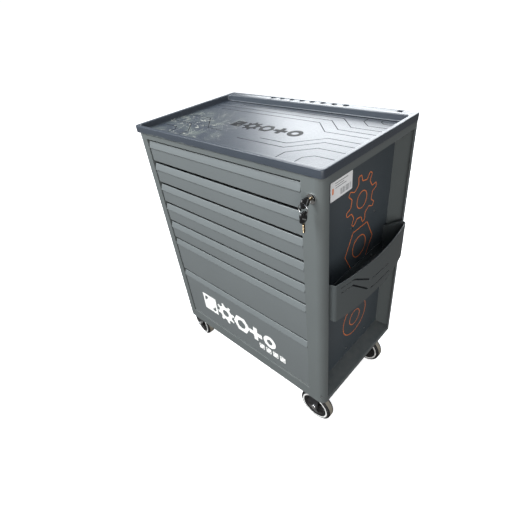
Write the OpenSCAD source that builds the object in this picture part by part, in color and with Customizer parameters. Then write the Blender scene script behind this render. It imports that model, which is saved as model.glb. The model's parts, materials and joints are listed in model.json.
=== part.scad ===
// Rolling tool chest with seven drawers, a moulded worktop and a side bin.
// The X axis points right and the Y axis back. Z is up from the floor.
// Sub-parts are drawn in the cabinet's frame, with the worktop centred on X = 0, Y = 0.
// part_frame() moves them so that the origin is the centre of the whole footprint.

/* [Worktop] */
// Width of the worktop
top_w = 700; // [690:1:710]
// Depth of the worktop
top_d = 423; // [419:1:428]
// Height of the worktop's lip
lip_h = 20; // [18:0.5:24]
// Depth of the tray below the rim
tray_depth = 18; // [12:0.5:18]
// Width of the rim at the front and the sides
rim_w = 12; // [8:0.5:16]
// Depth of the raised ledge along the back
ledge_d = 37.5; // [34:0.5:42]
// Radius of the tool holes in the ledge
tool_hole_r = 8.5; // [6:0.5:9]
// Distance between two tool holes
tool_hole_pitch = 40; // [30:1:42]
// Number of tool holes
tool_holes = 8; // [2:1:8]

/* [Body] */
// Height of the worktop's rim above the floor
total_h = 961; // [955:1:980]
// Height of the body's underside above the floor
ground_gap = 164; // [162:1:168]
// How far the body stands back from the worktop's edge
body_inset = 3; // [2:0.5:4]
// Thickness of the body's sheet steel
sheet = 1.5; // [1.2:0.1:1.6]
// Radius of the upright front edges
edge_r = 23; // [18:1:26]
// Width of the left front post
left_post_w = 45; // [40:1:50]
// Width of the right front post, which holds the lock
right_post_w = 57; // [54:1:62]
// Height of the sill along the foot of the side recesses
sill_h = 17; // [14:1:20]

/* [Drawers] */
// Height of one drawer unit
unit_h = 71.4; // [70:0.1:71.6]
// How far the top of the grip strip leans back
grip_lean = 6; // [3:0.5:7]
// Height of the finger gap above each drawer front
finger_gap = 9.5; // [8:0.5:11]
// Height of the raised grip strip on each drawer front
grip_h = 20; // [18:0.5:22]
// Thickness of the drawers' sheet steel
drawer_sheet = 1.2; // [1:0.1:1.5]
// Depth of a drawer box
drawer_d = 367; // [340:1:368]
// How far a drawer pulls out
travel = 360; // [300:5:360]

/* [Lock] */
// Height of the lock's centre below the rim
lock_drop = 69; // [60:1:76]
// Radius of the lock's plug
plug_r = 7; // [6.5:0.1:7.5]
// How far the lock bar rises
bar_lift = 8; // [5:1:10]

/* [Casters] */
// Radius of a wheel with its tyre
wheel_r = 60; // [58:0.5:62]
// Width of a tyre
tyre_w = 31; // [28:0.5:32]
// Radius of the hub under the tyre
hub_r = 44; // [40:0.5:46]
// Radius of the axles
axle_r = 6; // [5:0.1:6.5]
// Radial running clearance on the axles and swivel pins
run_gap = 0.05; // [0.02:0.01:0.08]
// Distance of a swivel wheel's axle behind its swivel pin
trail = 44; // [40:1:46]
// How far each swivel wheel is turned from pointing straight out to the left
toe = 8; // [0:1:20]

/* [Side bin] */
// Length of the bin
bin_len = 370; // [340:2:370]
// How far the middle of the bin stands out past the body
bin_bulge = 36; // [28:1:40]
// Rise of the bin's bow from its ends to its middle
bin_bow = 20; // [12:1:24]
// How far the middle of the bin lies behind the middle of the chest
bin_back = 4; // [0:1:8]
// Radius of the bin's upright corners
bin_corner = 10; // [8:0.5:12]
// Height of the bin
bin_h = 122; // [100:1:124]
// Height of the bin's bottom above the floor
bin_z = 529; // [500:1:560]
// Thickness of the bin's wall
bin_wall = 2.5; // [2:0.1:3]

/* [Hidden] */
$fn = 48;
eps = 0.4;

// Colours
body_grey = [0.44, 0.46, 0.47];
grip_grey = [0.52, 0.55, 0.56];
panel_grey = [0.20, 0.22, 0.23];
top_grey = [0.27, 0.30, 0.34];
zinc = [0.70, 0.71, 0.70];
black = [0.05, 0.05, 0.05];

// Body limits
body_x = top_w / 2 - body_inset;
front_y = -top_d / 2 + body_inset;
rear_y = top_d / 2 - body_inset;
lip_z = total_h - lip_h;
open_l = -body_x + left_post_w;
open_r = body_x - right_post_w;
panel_l = open_l - sheet;
panel_r = open_r + sheet;
post_back_y = front_y + edge_r;
web_foot = 14;

// Drawer rows, top to bottom, in units
ROW_UNITS = [1, 1, 1, 1, 1, 2, 3];
rows_top = total_h - 40;
function row_floor(n) = rows_top - unit_h * units_to(n);
function units_to(n) = n == 0 ? 0 : ROW_UNITS[n - 1] + units_to(n - 1);
function row_h(n) = unit_h * ROW_UNITS[n - 1];
rail_top = row_floor(7) + 2;
top_rail_z = rows_top + 4;

// Drawer box
front_gap = 2.5;
front_foot = finger_gap - front_gap;
box_front_y = front_y + 20.5;
panel_y = front_y + 2.5;
grip_y = front_y - 0.5;
slide_room = 12.5;
box_l = panel_l + sheet + slide_room;
box_r = panel_r - sheet - slide_room;
slide_z = 32;
rail_len = travel + 10;
channel_half = 17;
rail_reach = 11;
member_reach = 9;
box_head = 13;

// Lock
lock_x = (open_r + body_x) / 2;
lock_z = total_h - lock_drop;
bar_y = front_y + 18;
bar_w = 12;
bar_t = 2;
hook_z = 40;
key_out = 33;
bow_w = 22;
bow_t = 5;
key_blade_t = 2;
key_blade_h = 7;
ring_r = 12;
ring_wire = 0.9;
key_eye_y = front_y - 3 - key_out + 6;

// Casters
fixed_x = 284;
fixed_front_y = -160;
fixed_rear_y = 168;
swivel_x = -312;
swivel_y = 155;
plate_x = 65;
plate_y = 78;
plate_t = 2.5;
bolt_x = 24;
bolt_y = 30;
bolt_r = 4;
leg_t = 3;
leg_gap = 2;
tyre_shoulder = 7;
leg_out = tyre_w / 2 + leg_gap;

// Centre of the whole footprint, in the cabinet's frame
wheel_reach = (wheel_r - tyre_shoulder) * cos(toe)
    + (tyre_w / 2 - tyre_shoulder) * sin(toe) + tyre_shoulder;
reach_l = swivel_x - trail * cos(toe) - wheel_reach;
reach_r = body_x + bin_bulge;
reach_f = key_eye_y - bow_w / 2;
reach_b = top_d / 2;
centre_x = (reach_l + reach_r) / 2;
centre_y = (reach_f + reach_b) / 2;

// Moves a sub-part from the cabinet's frame to the part's own frame.
module part_frame() translate([-centre_x, -centre_y, 0]) children();

// Box between two corners.
module span(lo, hi) translate(lo) cube(hi - lo);

// Bar along X whose section is drawn in the Y-Z plane.
module along_x(x0, x1) translate([x0, 0, 0]) rotate([90, 0, 90]) linear_extrude(x1 - x0) children();

// Bar along Y whose section is drawn in the X-Z plane.
module along_y(y0, y1) translate([0, y1, 0]) rotate([90, 0, 0]) linear_extrude(y1 - y0) children();

// Round bar along Y, centred on a point.
module rod_y(r, len) rotate([90, 0, 0]) cylinder(r = r, h = len, center = true);

// Footprint with rounded front corners.
module footprint(inset) {
    r = edge_r - inset;
    x = body_x - inset;
    y0 = front_y + inset;
    translate([-x, y0 + r]) square([2 * x, rear_y - inset - y0 - r]);
    translate([-x + r, y0]) square([2 * (x - r), r + 1]);
    for (s = [-1, 1]) translate([s * (x - r), y0 + r]) circle(r);
}

// Rectangle with rounded corners.
module rounded_rect(x0, y0, x1, y1, r) {
    translate([x0 + r, y0]) square([x1 - x0 - 2 * r, y1 - y0]);
    translate([x0, y0 + r]) square([x1 - x0, y1 - y0 - 2 * r]);
    for (x = [x0 + r, x1 - r], y = [y0 + r, y1 - r]) translate([x, y]) circle(r);
}

// Places what follows at the four bolts of a caster plate.
module at_bolts() {
    for (x = [-bolt_x, bolt_x], y = [-bolt_y, bolt_y]) translate([x, y, 0]) children();
}

// Places what follows at the four casters.
module at_casters() {
    for (y = [fixed_front_y, fixed_rear_y]) translate([fixed_x, y, 0]) children();
    for (y = [-swivel_y, swivel_y]) translate([swivel_x, y, 0]) children();
}

// Frame of a swivel caster, whose X axis runs from the swivel pin towards the axle.
module swivel_frame(side) {
    translate([swivel_x, side * swivel_y, 0]) rotate(180 + side * toe) children();
}

// ---- Cabinet ----

module side_panel(x) {
    color(panel_grey) part_frame()
        span([x, post_back_y, ground_gap + sheet], [x + sheet, rear_y - sheet, lip_z - sheet]);
}

module side_panel_left() side_panel(panel_l - sheet);

module side_panel_right() side_panel(panel_r);

module back_panel() {
    color(body_grey) part_frame() {
        span([-body_x, rear_y - sheet, ground_gap + sheet], [body_x, rear_y, lip_z - sheet]);
        for (x = [-body_x, body_x - sheet])
            span([x, rear_y - 12, ground_gap + sill_h], [x + sheet, rear_y - sheet, rows_top]);
    }
}

module base_pan() {
    color(body_grey) part_frame() difference() {
        union() {
            translate([0, 0, ground_gap]) linear_extrude(sheet) footprint(0);
            for (s = [-1, 1]) {
                inner = s < 0 ? -panel_l + sheet : panel_r + sheet;
                y0 = post_back_y;
                x0 = s < 0 ? -body_x : body_x - sheet;
                span([x0, y0, ground_gap + sheet], [x0 + sheet, rear_y - sheet, ground_gap + sill_h]);
                lo = s < 0 ? -body_x : inner;
                hi = s < 0 ? -inner : body_x;
                span([lo, y0, ground_gap + sill_h - sheet], [hi, rear_y - sheet, ground_gap + sill_h]);
            }
        }
        at_casters() at_bolts()
            translate([0, 0, ground_gap - 1]) cylinder(r = bolt_r + 0.3, h = sheet + 2);
    }
}

module top_deck() {
    color(body_grey) part_frame() difference() {
        union() {
            translate([0, 0, lip_z - sheet]) linear_extrude(sheet) footprint(0);
            span([open_l, front_y, top_rail_z], [open_r, front_y + sheet, lip_z - sheet]);
            span([open_l, front_y + sheet, top_rail_z], [open_r, front_y + 16, top_rail_z + sheet]);
            for (x = [-body_x, body_x - sheet])
                span([x, post_back_y, rows_top], [x + sheet, rear_y - sheet, lip_z - sheet]);
        }
        reach = tool_hole_pitch * (tool_holes - 1) / 2 + tool_hole_r + 4;
        span([-reach, rear_y - 27, lip_z - sheet - 1], [reach, rear_y - 4, lip_z + 1]);
    }
}

// Closed front post, which holds the lock on the right. Its web stops above the caster bolts.
module post(side, w) {
    z0 = ground_gap + sheet;
    z1 = lip_z - sheet;
    web_x = side < 0 ? -body_x : open_r;
    color(body_grey) part_frame() {
        translate([0, 0, z0]) linear_extrude(z1 - z0) {
            intersection() {
                difference() {
                    footprint(0);
                    footprint(sheet);
                }
                lo = side < 0 ? -body_x - 1 : body_x - w;
                translate([lo, front_y - 1]) square([w + 1, edge_r + 1]);
            }
            flange_x = side < 0 ? open_l - sheet : open_r;
            translate([flange_x, front_y]) square([sheet, edge_r]);
        }
        span([web_x, post_back_y - sheet, z0 + web_foot], [web_x + w, post_back_y, z1]);
    }
}

module post_left() post(-1, left_post_w);

module post_right() {
    difference() {
        post(1, right_post_w);
        part_frame() translate([lock_x, front_y, lock_z]) rod_y(plug_r + 3.2, 6);
    }
}

module bottom_rail() {
    color(body_grey) part_frame() {
        span([open_l, front_y, ground_gap + sheet], [open_r, front_y + sheet, rail_top]);
        span([open_l, front_y + sheet, rail_top - sheet], [open_r, front_y + 16, rail_top]);
    }
}

module worktop() {
    x = top_w / 2;
    y = top_d / 2;
    ledge_y = y - ledge_d;
    color(top_grey) part_frame() difference() {
        translate([0, 0, lip_z]) linear_extrude(lip_h) rounded_rect(-x, -y, x, y, 14);
        translate([0, 0, total_h - tray_depth]) linear_extrude(tray_depth + 1)
            rounded_rect(-x + rim_w, -y + rim_w, x - rim_w, ledge_y, 9);
        span([-x + 8, ledge_y + 4, lip_z - 1], [x - 8, y - 5, total_h - 3.5]);
        for (i = [0 : tool_holes - 1])
            translate([(i - (tool_holes - 1) / 2) * tool_hole_pitch, y - 15.5, total_h - 5])
                cylinder(r = tool_hole_r, h = 7);
        span([295, y - 22.5, total_h - 5], [309, y - 8.5, total_h + 1]);
    }
}

// Outline of the bin seen from above, with its wall set in by a given amount.
module bin_outline(inset) {
    half = bin_len / 2 - inset;
    bow_r = (pow(bin_len / 2, 2) + pow(bin_bow, 2)) / (2 * bin_bow);
    corner = bin_corner - inset;
    steps = 28;
    straight = half - corner;
    tip_x = body_x + bin_bulge - bow_r;
    function bow_x(t) = tip_x + sqrt(pow(bow_r - inset, 2) - t * t);
    bow = [for (i = [0 : steps]) let (t = -straight + 2 * straight * i / steps) [bow_x(t), t]];
    end_x = bow_x(straight) - corner;
    round_r = [for (a = [10 : 10 : 90]) [end_x + corner * cos(a), straight + corner * sin(a)]];
    round_l = [for (a = [-90 : 10 : -10]) [end_x + corner * cos(a), -straight + corner * sin(a)]];
    back_x = panel_r + sheet + eps + inset;
    polygon(concat([[back_x, -half]], round_l, bow, round_r, [[back_x, half]]));
}

// Narrow slot in the bin's face between two points of the Y-Z plane.
module bin_slot(a, b, w) {
    d = b - a;
    n = [-d[1], d[0]] / norm(d) * w / 2;
    along_x(body_x + 2, body_x + bin_bulge + 4) polygon([a - n, b - n, b + n, a + n]);
}

module side_bin() {
    inner_h = bin_h - bin_wall + 1;
    z1 = bin_z + bin_h;
    x0 = panel_r + sheet - 1;
    color(body_grey) part_frame() difference() {
        translate([0, bin_back, bin_z]) linear_extrude(bin_h) bin_outline(0);
        translate([0, bin_back, bin_z + bin_wall]) linear_extrude(inner_h) bin_outline(bin_wall);
        along_y(-bin_len, bin_len)
            polygon([[x0, z1 - 36], [x0 + 58, z1 + 0.5], [x0 + 58, z1 + 5], [x0, z1 + 5]]);
        span([x0, bin_back - bin_len / 2 + bin_wall, bin_z + 32],
            [x0 + 6, bin_back + bin_len / 2 - bin_wall, z1 + 1]);
        bin_slot([-161, z1 - 15], [-113, z1 - 15], 3);
        bin_slot([-114, z1 - 14.5], [-43, z1 - 57], 5);
        bin_slot([-160, z1 - 32], [-118, z1 - 31], 3);
        bin_slot([-119, z1 - 30.5], [-50, z1 - 87], 5);
        bin_slot([-33, z1 - 61], [59, z1 - 67], 4);
        bin_slot([-36, z1 - 92], [72, z1 - 101], 4);
    }
}

// One channel of a drawer slide, drawn from its web outwards along X.
module slide_channel(web_x, way, depth, half_h, y0, y1, z) {
    lo = way > 0 ? web_x : web_x - depth;
    hi = way > 0 ? web_x + depth : web_x;
    web = way > 0 ? [web_x, web_x + sheet] : [web_x - sheet, web_x];
    span([web[0], y0, z - half_h], [web[1], y1, z + half_h]);
    for (zz = [z - half_h, z + half_h - sheet]) span([lo, y0, zz], [hi, y1, zz + sheet]);
}

module cabinet_rails(web_x, way) {
    color(zinc) part_frame() for (n = [1 : 7])
        slide_channel(web_x, way, rail_reach, channel_half, post_back_y, box_front_y + rail_len,
            row_floor(n) + slide_z);
}

module cabinet_rails_left() cabinet_rails(panel_l, 1);

module cabinet_rails_right() cabinet_rails(panel_r, -1);

module slide_members(n) {
    z = row_floor(n) + slide_z;
    y1 = box_front_y + rail_len;
    half = channel_half - sheet - eps;
    color(zinc) part_frame() {
        slide_channel(panel_l + sheet + eps, 1, member_reach, half, box_front_y, y1, z);
        slide_channel(panel_r - sheet - eps, -1, member_reach, half, box_front_y, y1, z);
    }
}

module drawer_box(n) {
    z0 = row_floor(n) + front_foot + 1;
    z1 = row_floor(n) + row_h(n) - box_head;
    y0 = box_front_y;
    y1 = y0 + drawer_d;
    t = drawer_sheet;
    runner_h = channel_half - 2 * sheet - 2 * eps;
    z = row_floor(n) + slide_z;
    color(body_grey) part_frame() {
        span([box_l, y0, z0], [box_r, y1, z0 + t]);
        span([box_l, y0, z0 + t], [box_r, y0 + t, z1]);
        span([box_l, y1 - t, z0 + t], [box_r, y1, z1]);
        for (x = [box_l, box_r - t]) span([x, y0 + t, z0 + t], [x + t, y1 - t, z1]);
        slide_channel(box_l - slide_room + sheet + 2 * eps + sheet, 1, slide_room - 2 * sheet - 2 * eps,
            runner_h, y0, y1, z);
        slide_channel(box_r + slide_room - sheet - 2 * eps - sheet, -1,
            slide_room - 2 * sheet - 2 * eps, runner_h, y0, y1, z);
    }
}

module drawer_front(n) {
    z0 = row_floor(n) + front_foot;
    z1 = row_floor(n) + row_h(n) - front_gap;
    zs = z1 - grip_h;
    t = sheet;
    hem = 6;
    top_y = grip_y + grip_lean;
    hem_y = top_y - grip_lean * hem / grip_h;
    x0 = open_l + 4;
    x1 = open_r - 2;
    color(grip_grey) part_frame() {
        along_x(x0, x1) {
            polygon([[box_front_y, z0], [box_front_y, z0 + t], [panel_y + t, z0 + t],
                [panel_y + t, zs - 2], [grip_y + t, zs + 1], [hem_y + t, z1 - hem],
                [hem_y + 2 * t + eps, z1 - hem], [top_y + 2 * t + eps, z1 - 0.5],
                [top_y + t, z1], [top_y + 0.5, z1 - 0.5],
                [grip_y, zs], [panel_y, zs - 3], [panel_y, z0]]);
        }
        for (x = [x0, x1 - t])
            span([x, panel_y + t, z0 + t], [x + t, box_front_y, zs - 3]);
    }
}

// ---- Lock ----

module lock_body() {
    gap = plug_r + run_gap;
    color(zinc) part_frame() translate([lock_x, 0, lock_z]) difference() {
        union() {
            translate([0, front_y - 1.5, 0]) rod_y(plug_r + 5, 3);
            translate([0, front_y + 6.5, 0]) rod_y(plug_r + 3, 13);
        }
        translate([0, front_y + 5, 0]) rod_y(gap, 40);
    }
}

module lock_plug() {
    color(zinc) part_frame() translate([lock_x, 0, lock_z]) difference() {
        union() {
            translate([0, front_y + 5.7, 0]) rod_y(plug_r, 17.4);
            span([-4, front_y + 14.4, -4], [16, front_y + 16.4, 4]);
        }
        span([-key_blade_t / 2 - eps, front_y - 5, -key_blade_h / 2 - eps],
            [key_blade_t / 2 + eps, front_y + 13, key_blade_h / 2 + eps]);
    }
}

module lock_bar() {
    x = lock_x + 12;
    color(zinc) part_frame() {
        span([x - bar_w / 2, bar_y, ground_gap + 20], [x + bar_w / 2, bar_y + bar_t, lock_z + 20]);
        for (n = [1 : 7])
            span([panel_r + sheet + 1, bar_y, row_floor(n) + hook_z],
                [x - bar_w / 2, bar_y + bar_t, row_floor(n) + hook_z + bar_lift + 4]);
    }
}

// Flat key with its blade along +Y and its bow at the front, with the eye at the origin.
module key_shape(bow_len, blade_len) {
    rotate([90, 0, 90]) translate([0, 0, -bow_t / 2]) linear_extrude(bow_t) difference() {
        rounded_rect(-6, -bow_w / 2, bow_len - 6, bow_w / 2, 6);
        circle(3);
    }
    span([-key_blade_t / 2, bow_len - 6, -key_blade_h / 2],
        [key_blade_t / 2, bow_len - 6 + blade_len, key_blade_h / 2]);
}

module key() {
    color(black) part_frame() translate([lock_x, key_eye_y, lock_z]) key_shape(26, 20);
}

module key_ring() {
    color(zinc) part_frame() translate([lock_x, key_eye_y, lock_z - ring_r])
        rotate([90, 0, 0]) rotate_extrude() translate([ring_r, 0]) circle(ring_wire, $fn = 20);
}

module spare_key() {
    color(black) part_frame() translate([lock_x, key_eye_y, lock_z - 2 * ring_r])
        rotate([-90, 0, 0]) key_shape(26, 26);
}

// ---- Fasteners ----

module panel_rivets() {
    color(zinc) part_frame() {
        for (s = [-1, 1]) {
            translate([s * (body_x - 9), front_y - 0.4, ground_gap + 39]) rod_y(2.6, 0.8);
            x = s < 0 ? panel_l - sheet : panel_r + sheet;
            for (y = [-120, 0, 120], z = [210, 500, 700, 880])
                translate([x + s * 0.6, y, z]) rotate([0, 90, 0]) cylinder(r = 3.2, h = 1.2, center = true);
            for (z = [230, 420, 610, 800, 900])
                translate([s * (body_x - 16), rear_y + 0.5, z]) rod_y(3.2, 1);
        }
        for (s = [-1, 1], z = [bin_z + 14])
            translate([panel_r + sheet + eps + bin_wall + 1, s * 120, z]) rotate([0, 90, 0])
                cylinder(r = 4, h = 2, center = true);
    }
}

module caster_bolts() {
    z = ground_gap - plate_t;
    color(zinc) part_frame() at_casters() at_bolts() {
        translate([0, 0, z - 4]) cylinder(r = 6.5, h = 4, $fn = 6);
        translate([0, 0, z - 0.1]) cylinder(r = bolt_r, h = plate_t + sheet + 6.1);
        translate([0, 0, ground_gap + sheet]) cylinder(r = 6.5, h = 5, $fn = 6);
    }
}

// ---- Casters ----

module caster_plate() {
    translate([0, 0, ground_gap - plate_t]) linear_extrude(plate_t) difference() {
        rounded_rect(-plate_x / 2, -plate_y / 2, plate_x / 2, plate_y / 2, 8);
        at_bolts() circle(bolt_r + 0.3);
    }
}

module fixed_bracket(y) {
    z1 = ground_gap - plate_t;
    color(zinc) part_frame() translate([fixed_x, y, 0]) difference() {
        union() {
            caster_plate();
            for (s = [-1, 1]) {
                y0 = s < 0 ? -leg_out - leg_t : leg_out;
                along_y(y0, y0 + leg_t) {
                    polygon([[-24, z1], [24, z1], [14, wheel_r], [-14, wheel_r]]);
                    translate([0, wheel_r]) circle(14);
                }
            }
        }
        translate([0, 0, wheel_r]) rod_y(axle_r + 0.02, 100);
    }
}

module fixed_bracket_front() fixed_bracket(fixed_front_y);

module fixed_bracket_rear() fixed_bracket(fixed_rear_y);

// Axle bolt with a round head at the front and a nut at the back.
module axle() {
    rod_y(axle_r, 2 * (leg_out + leg_t));
    translate([0, -leg_out - leg_t - 2.5, 0]) rod_y(10, 5);
    translate([0, leg_out + leg_t + 3, 0]) rod_y(9, 6);
}

module fixed_axles() {
    color(zinc) part_frame()
        for (y = [fixed_front_y, fixed_rear_y]) translate([fixed_x, y, wheel_r]) axle();
}

module swivel_plate(side) {
    z1 = ground_gap - plate_t;
    color(zinc) part_frame() translate([swivel_x, side * swivel_y, 0]) {
        caster_plate();
        translate([0, 0, z1 - 9]) cylinder(r = 26, h = 9);
        translate([0, 0, z1 - 15.5]) cylinder(r = axle_r, h = 8);
        translate([0, 0, z1 - 19]) cylinder(r = 10, h = 3.5);
    }
}

module swivel_plate_front() swivel_plate(-1);

module swivel_plate_rear() swivel_plate(1);

module fork(side) {
    crown_top = ground_gap - plate_t - 9 - eps;
    crown_bottom = ground_gap - plate_t - 15.5 + eps;
    half_w = leg_out + leg_t;
    color(zinc) part_frame() swivel_frame(side) difference() {
        union() {
            translate([0, 0, crown_bottom]) cylinder(r = 27, h = crown_top - crown_bottom);
            span([-14, -half_w, crown_bottom], [trail, half_w, crown_top]);
            for (y0 = [-half_w, leg_out]) along_y(y0, y0 + leg_t) {
                polygon([[-14, crown_bottom + 1], [trail + 14, crown_bottom + 1],
                    [trail + 14, wheel_r], [trail - 14, wheel_r], [-14, crown_bottom - 18]]);
                translate([trail, wheel_r]) circle(14);
            }
        }
        translate([0, 0, crown_bottom - 1]) cylinder(r = axle_r + run_gap, h = 20);
        translate([trail, 0, wheel_r]) rod_y(axle_r + 0.02, 100);
        translate([trail + 8, 0, crown_bottom - 6]) rod_y(3 + run_gap, 100);
    }
}

module fork_front() fork(-1);

module fork_rear() fork(1);

module fork_axle(side) {
    color(zinc) part_frame() swivel_frame(side) translate([trail, 0, wheel_r]) axle();
}

module fork_axle_front() fork_axle(-1);

module fork_axle_rear() fork_axle(1);

// Brake lever, which turns on a pin through the fork and presses on the tyre.
module brake(side) {
    pin_z = ground_gap - plate_t - 21.5 + eps;
    color(black) part_frame() swivel_frame(side) {
        translate([trail + 8, 0, pin_z]) rod_y(3, 2 * leg_out + 2 * leg_t + 4);
        along_y(-leg_out + 1, leg_out - 1) polygon([[trail + 3, pin_z - 18], [trail + 16, pin_z - 18],
            [trail + 20, pin_z - 8], [trail + 50, pin_z - 14], [trail + 52, pin_z - 10], [trail + 46, pin_z - 2],
            [trail + 16, pin_z + 4], [trail + 3, pin_z + 4]]);
    }
}

module brake_front() brake(-1);

module brake_rear() brake(1);

// Hub with a boss at each side, centred on the axle.
module hub() {
    color(black) rotate([90, 0, 0]) difference() {
        union() {
            cylinder(r = hub_r, h = tyre_w - 5, center = true);
            cylinder(r = 14, h = 2 * leg_out - 2 * eps, center = true);
        }
        cylinder(r = axle_r + run_gap, h = 100, center = true);
        for (s = [-1, 1]) translate([0, 0, s * (tyre_w / 2 + 2.5)]) difference() {
            cylinder(r = hub_r - 8, h = 18, center = true);
            cylinder(r = 14, h = 20, center = true);
        }
    }
}

// Tyre with rounded shoulders, centred on the axle.
module tyre() {
    r = tyre_shoulder;
    color(black) rotate([90, 0, 0]) rotate_extrude($fn = 96) {
        translate([hub_r, -tyre_w / 2]) square([wheel_r - hub_r - r, tyre_w]);
        translate([hub_r, -tyre_w / 2 + r]) square([wheel_r - hub_r, tyre_w - 2 * r]);
        for (y = [-1, 1]) translate([wheel_r - r, y * (tyre_w / 2 - r)]) circle(r);
    }
}

// Places a wheel's sub-part on a fixed caster or on a swivel caster.
module on_fixed(y) part_frame() translate([fixed_x, y, wheel_r]) children();

module on_swivel(side) part_frame() swivel_frame(side) translate([trail, 0, wheel_r]) children();

module hub_front_right() on_fixed(fixed_front_y) hub();

module hub_rear_right() on_fixed(fixed_rear_y) hub();

module hub_front_left() on_swivel(-1) hub();

module hub_rear_left() on_swivel(1) hub();

module tyre_front_right() on_fixed(fixed_front_y) tyre();

module tyre_rear_right() on_fixed(fixed_rear_y) tyre();

module tyre_front_left() on_swivel(-1) tyre();

module tyre_rear_left() on_swivel(1) tyre();

side_panel_left();
side_panel_right();
back_panel();
base_pan();
top_deck();
post_left();
post_right();
bottom_rail();
worktop();
side_bin();
cabinet_rails_left();
cabinet_rails_right();
lock_body();
panel_rivets();
caster_bolts();
fixed_bracket_front();
fixed_bracket_rear();
fixed_axles();
swivel_plate_front();
swivel_plate_rear();
for (n = [1 : 7]) {
    drawer_box(n);
    drawer_front(n);
    slide_members(n);
}
lock_plug();
lock_bar();
key();
key_ring();
spare_key();
hub_front_right();
hub_rear_right();
hub_front_left();
hub_rear_left();
tyre_front_right();
tyre_rear_right();
tyre_front_left();
tyre_rear_left();
fork_front();
fork_rear();
fork_axle_front();
fork_axle_rear();
brake_front();
brake_rear();
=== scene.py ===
"""Rolling tool chest with seven drawers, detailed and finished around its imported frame.

Lengths are in metres. Sizes given in millimetres are multiplied by MM. Places on the chest are
measured from the middle of the worktop, in plan, and from the floor.
"""
import functools
import json
import logging
import math
import random
from dataclasses import dataclass, replace
from enum import Enum
from typing import Any, Iterable, Sequence

import bmesh
import bpy
from mathutils import Matrix, Vector
from mathutils.geometry import delaunay_2d_cdt


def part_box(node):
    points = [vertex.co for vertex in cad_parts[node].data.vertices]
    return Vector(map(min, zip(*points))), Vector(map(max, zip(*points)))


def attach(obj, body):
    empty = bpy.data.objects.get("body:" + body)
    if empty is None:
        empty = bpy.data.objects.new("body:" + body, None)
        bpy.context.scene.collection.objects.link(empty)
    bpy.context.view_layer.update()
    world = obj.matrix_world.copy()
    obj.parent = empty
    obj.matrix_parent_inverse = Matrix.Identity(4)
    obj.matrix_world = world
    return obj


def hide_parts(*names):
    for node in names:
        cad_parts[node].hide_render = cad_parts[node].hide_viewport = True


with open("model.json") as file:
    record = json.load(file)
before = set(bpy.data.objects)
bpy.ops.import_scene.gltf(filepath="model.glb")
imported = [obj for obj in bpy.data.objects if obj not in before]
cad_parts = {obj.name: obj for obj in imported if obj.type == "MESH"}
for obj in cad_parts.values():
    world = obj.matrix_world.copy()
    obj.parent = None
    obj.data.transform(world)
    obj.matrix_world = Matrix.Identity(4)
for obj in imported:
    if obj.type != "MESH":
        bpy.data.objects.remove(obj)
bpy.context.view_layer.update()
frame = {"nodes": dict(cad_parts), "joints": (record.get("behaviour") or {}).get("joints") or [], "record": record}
MM = 0.001
DRAWERS = 7
UP = Vector((0, 0, 1))
log = logging.getLogger("tool_chest")

Point2 = tuple[float, float]
Point3 = tuple[float, float, float]
Colour = tuple[float, float, float]
Outline = list[Vector]
Loop = list[bmesh.types.BMVert]


# ---- Named options ----


class Plane(Enum):
    """Plane that an outline is drawn in, by the axes of its first and second coordinate."""

    YZ = "yz"
    XZ = "xz"
    XY = "xy"

    def point(self, u: float, v: float, depth: float) -> Vector:
        """Place a point of an outline at a depth along the plane's normal.

        Args:
            u: First coordinate.
            v: Second coordinate.
            depth: Coordinate along the normal.

        Returns:
            The point in space.
        """
        if self is Plane.YZ:
            return Vector((depth, u, v))
        if self is Plane.XZ:
            return Vector((u, depth, v))
        return Vector((u, v, depth))

    def spot(self, u: float, v: float) -> Point2:
        """Coordinates of a place given in millimetres from the middle of the worktop and the floor."""
        start = {Plane.XY: (ORIGIN.x, ORIGIN.y), Plane.XZ: (ORIGIN.x, 0.0), Plane.YZ: (ORIGIN.y, 0.0)}[self]
        return start[0] + u * MM, start[1] + v * MM


class Slot(str, Enum):
    """Material slots of the record."""

    FRONT = "front_paint"
    WORKTOP = "worktop_abs"
    BIN = "bin_paint"
    CHROME = "bright_chrome"
    KEY = "key_plastic"
    HUB = "hub_plastic"
    TYRE = "tyre_rubber"
    WHITE = "graphic_white"
    ORANGE = "graphic_orange"
    LABEL = "label_paper"


# ---- Outlines ----


STRAIGHT = 0.02  # turn of a path, in radians, that needs no arc
SIDE_SHARE = 0.48  # largest share of a side that one arc takes up
MITRE_LIMIT = 0.3  # smallest cosine that a mitred offset is divided by
LEAST = 1e-7  # smallest offset worth making, in metres


def turns(total: float, steps: int) -> list[float]:
    """Evenly spaced angles from 0 to a total, with both ends."""
    return [total * k / steps for k in range(steps + 1)]


def full_turn(steps: int) -> list[float]:
    """Evenly spaced angles of a full turn."""
    return turns(math.tau, steps)[:-1]


def quarter(steps: int) -> list[Point2]:
    """Sine and one minus cosine along a quarter turn, for rounding an edge."""
    return [(math.sin(a), 1 - math.cos(a)) for a in turns(math.pi / 2, steps)]


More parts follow.
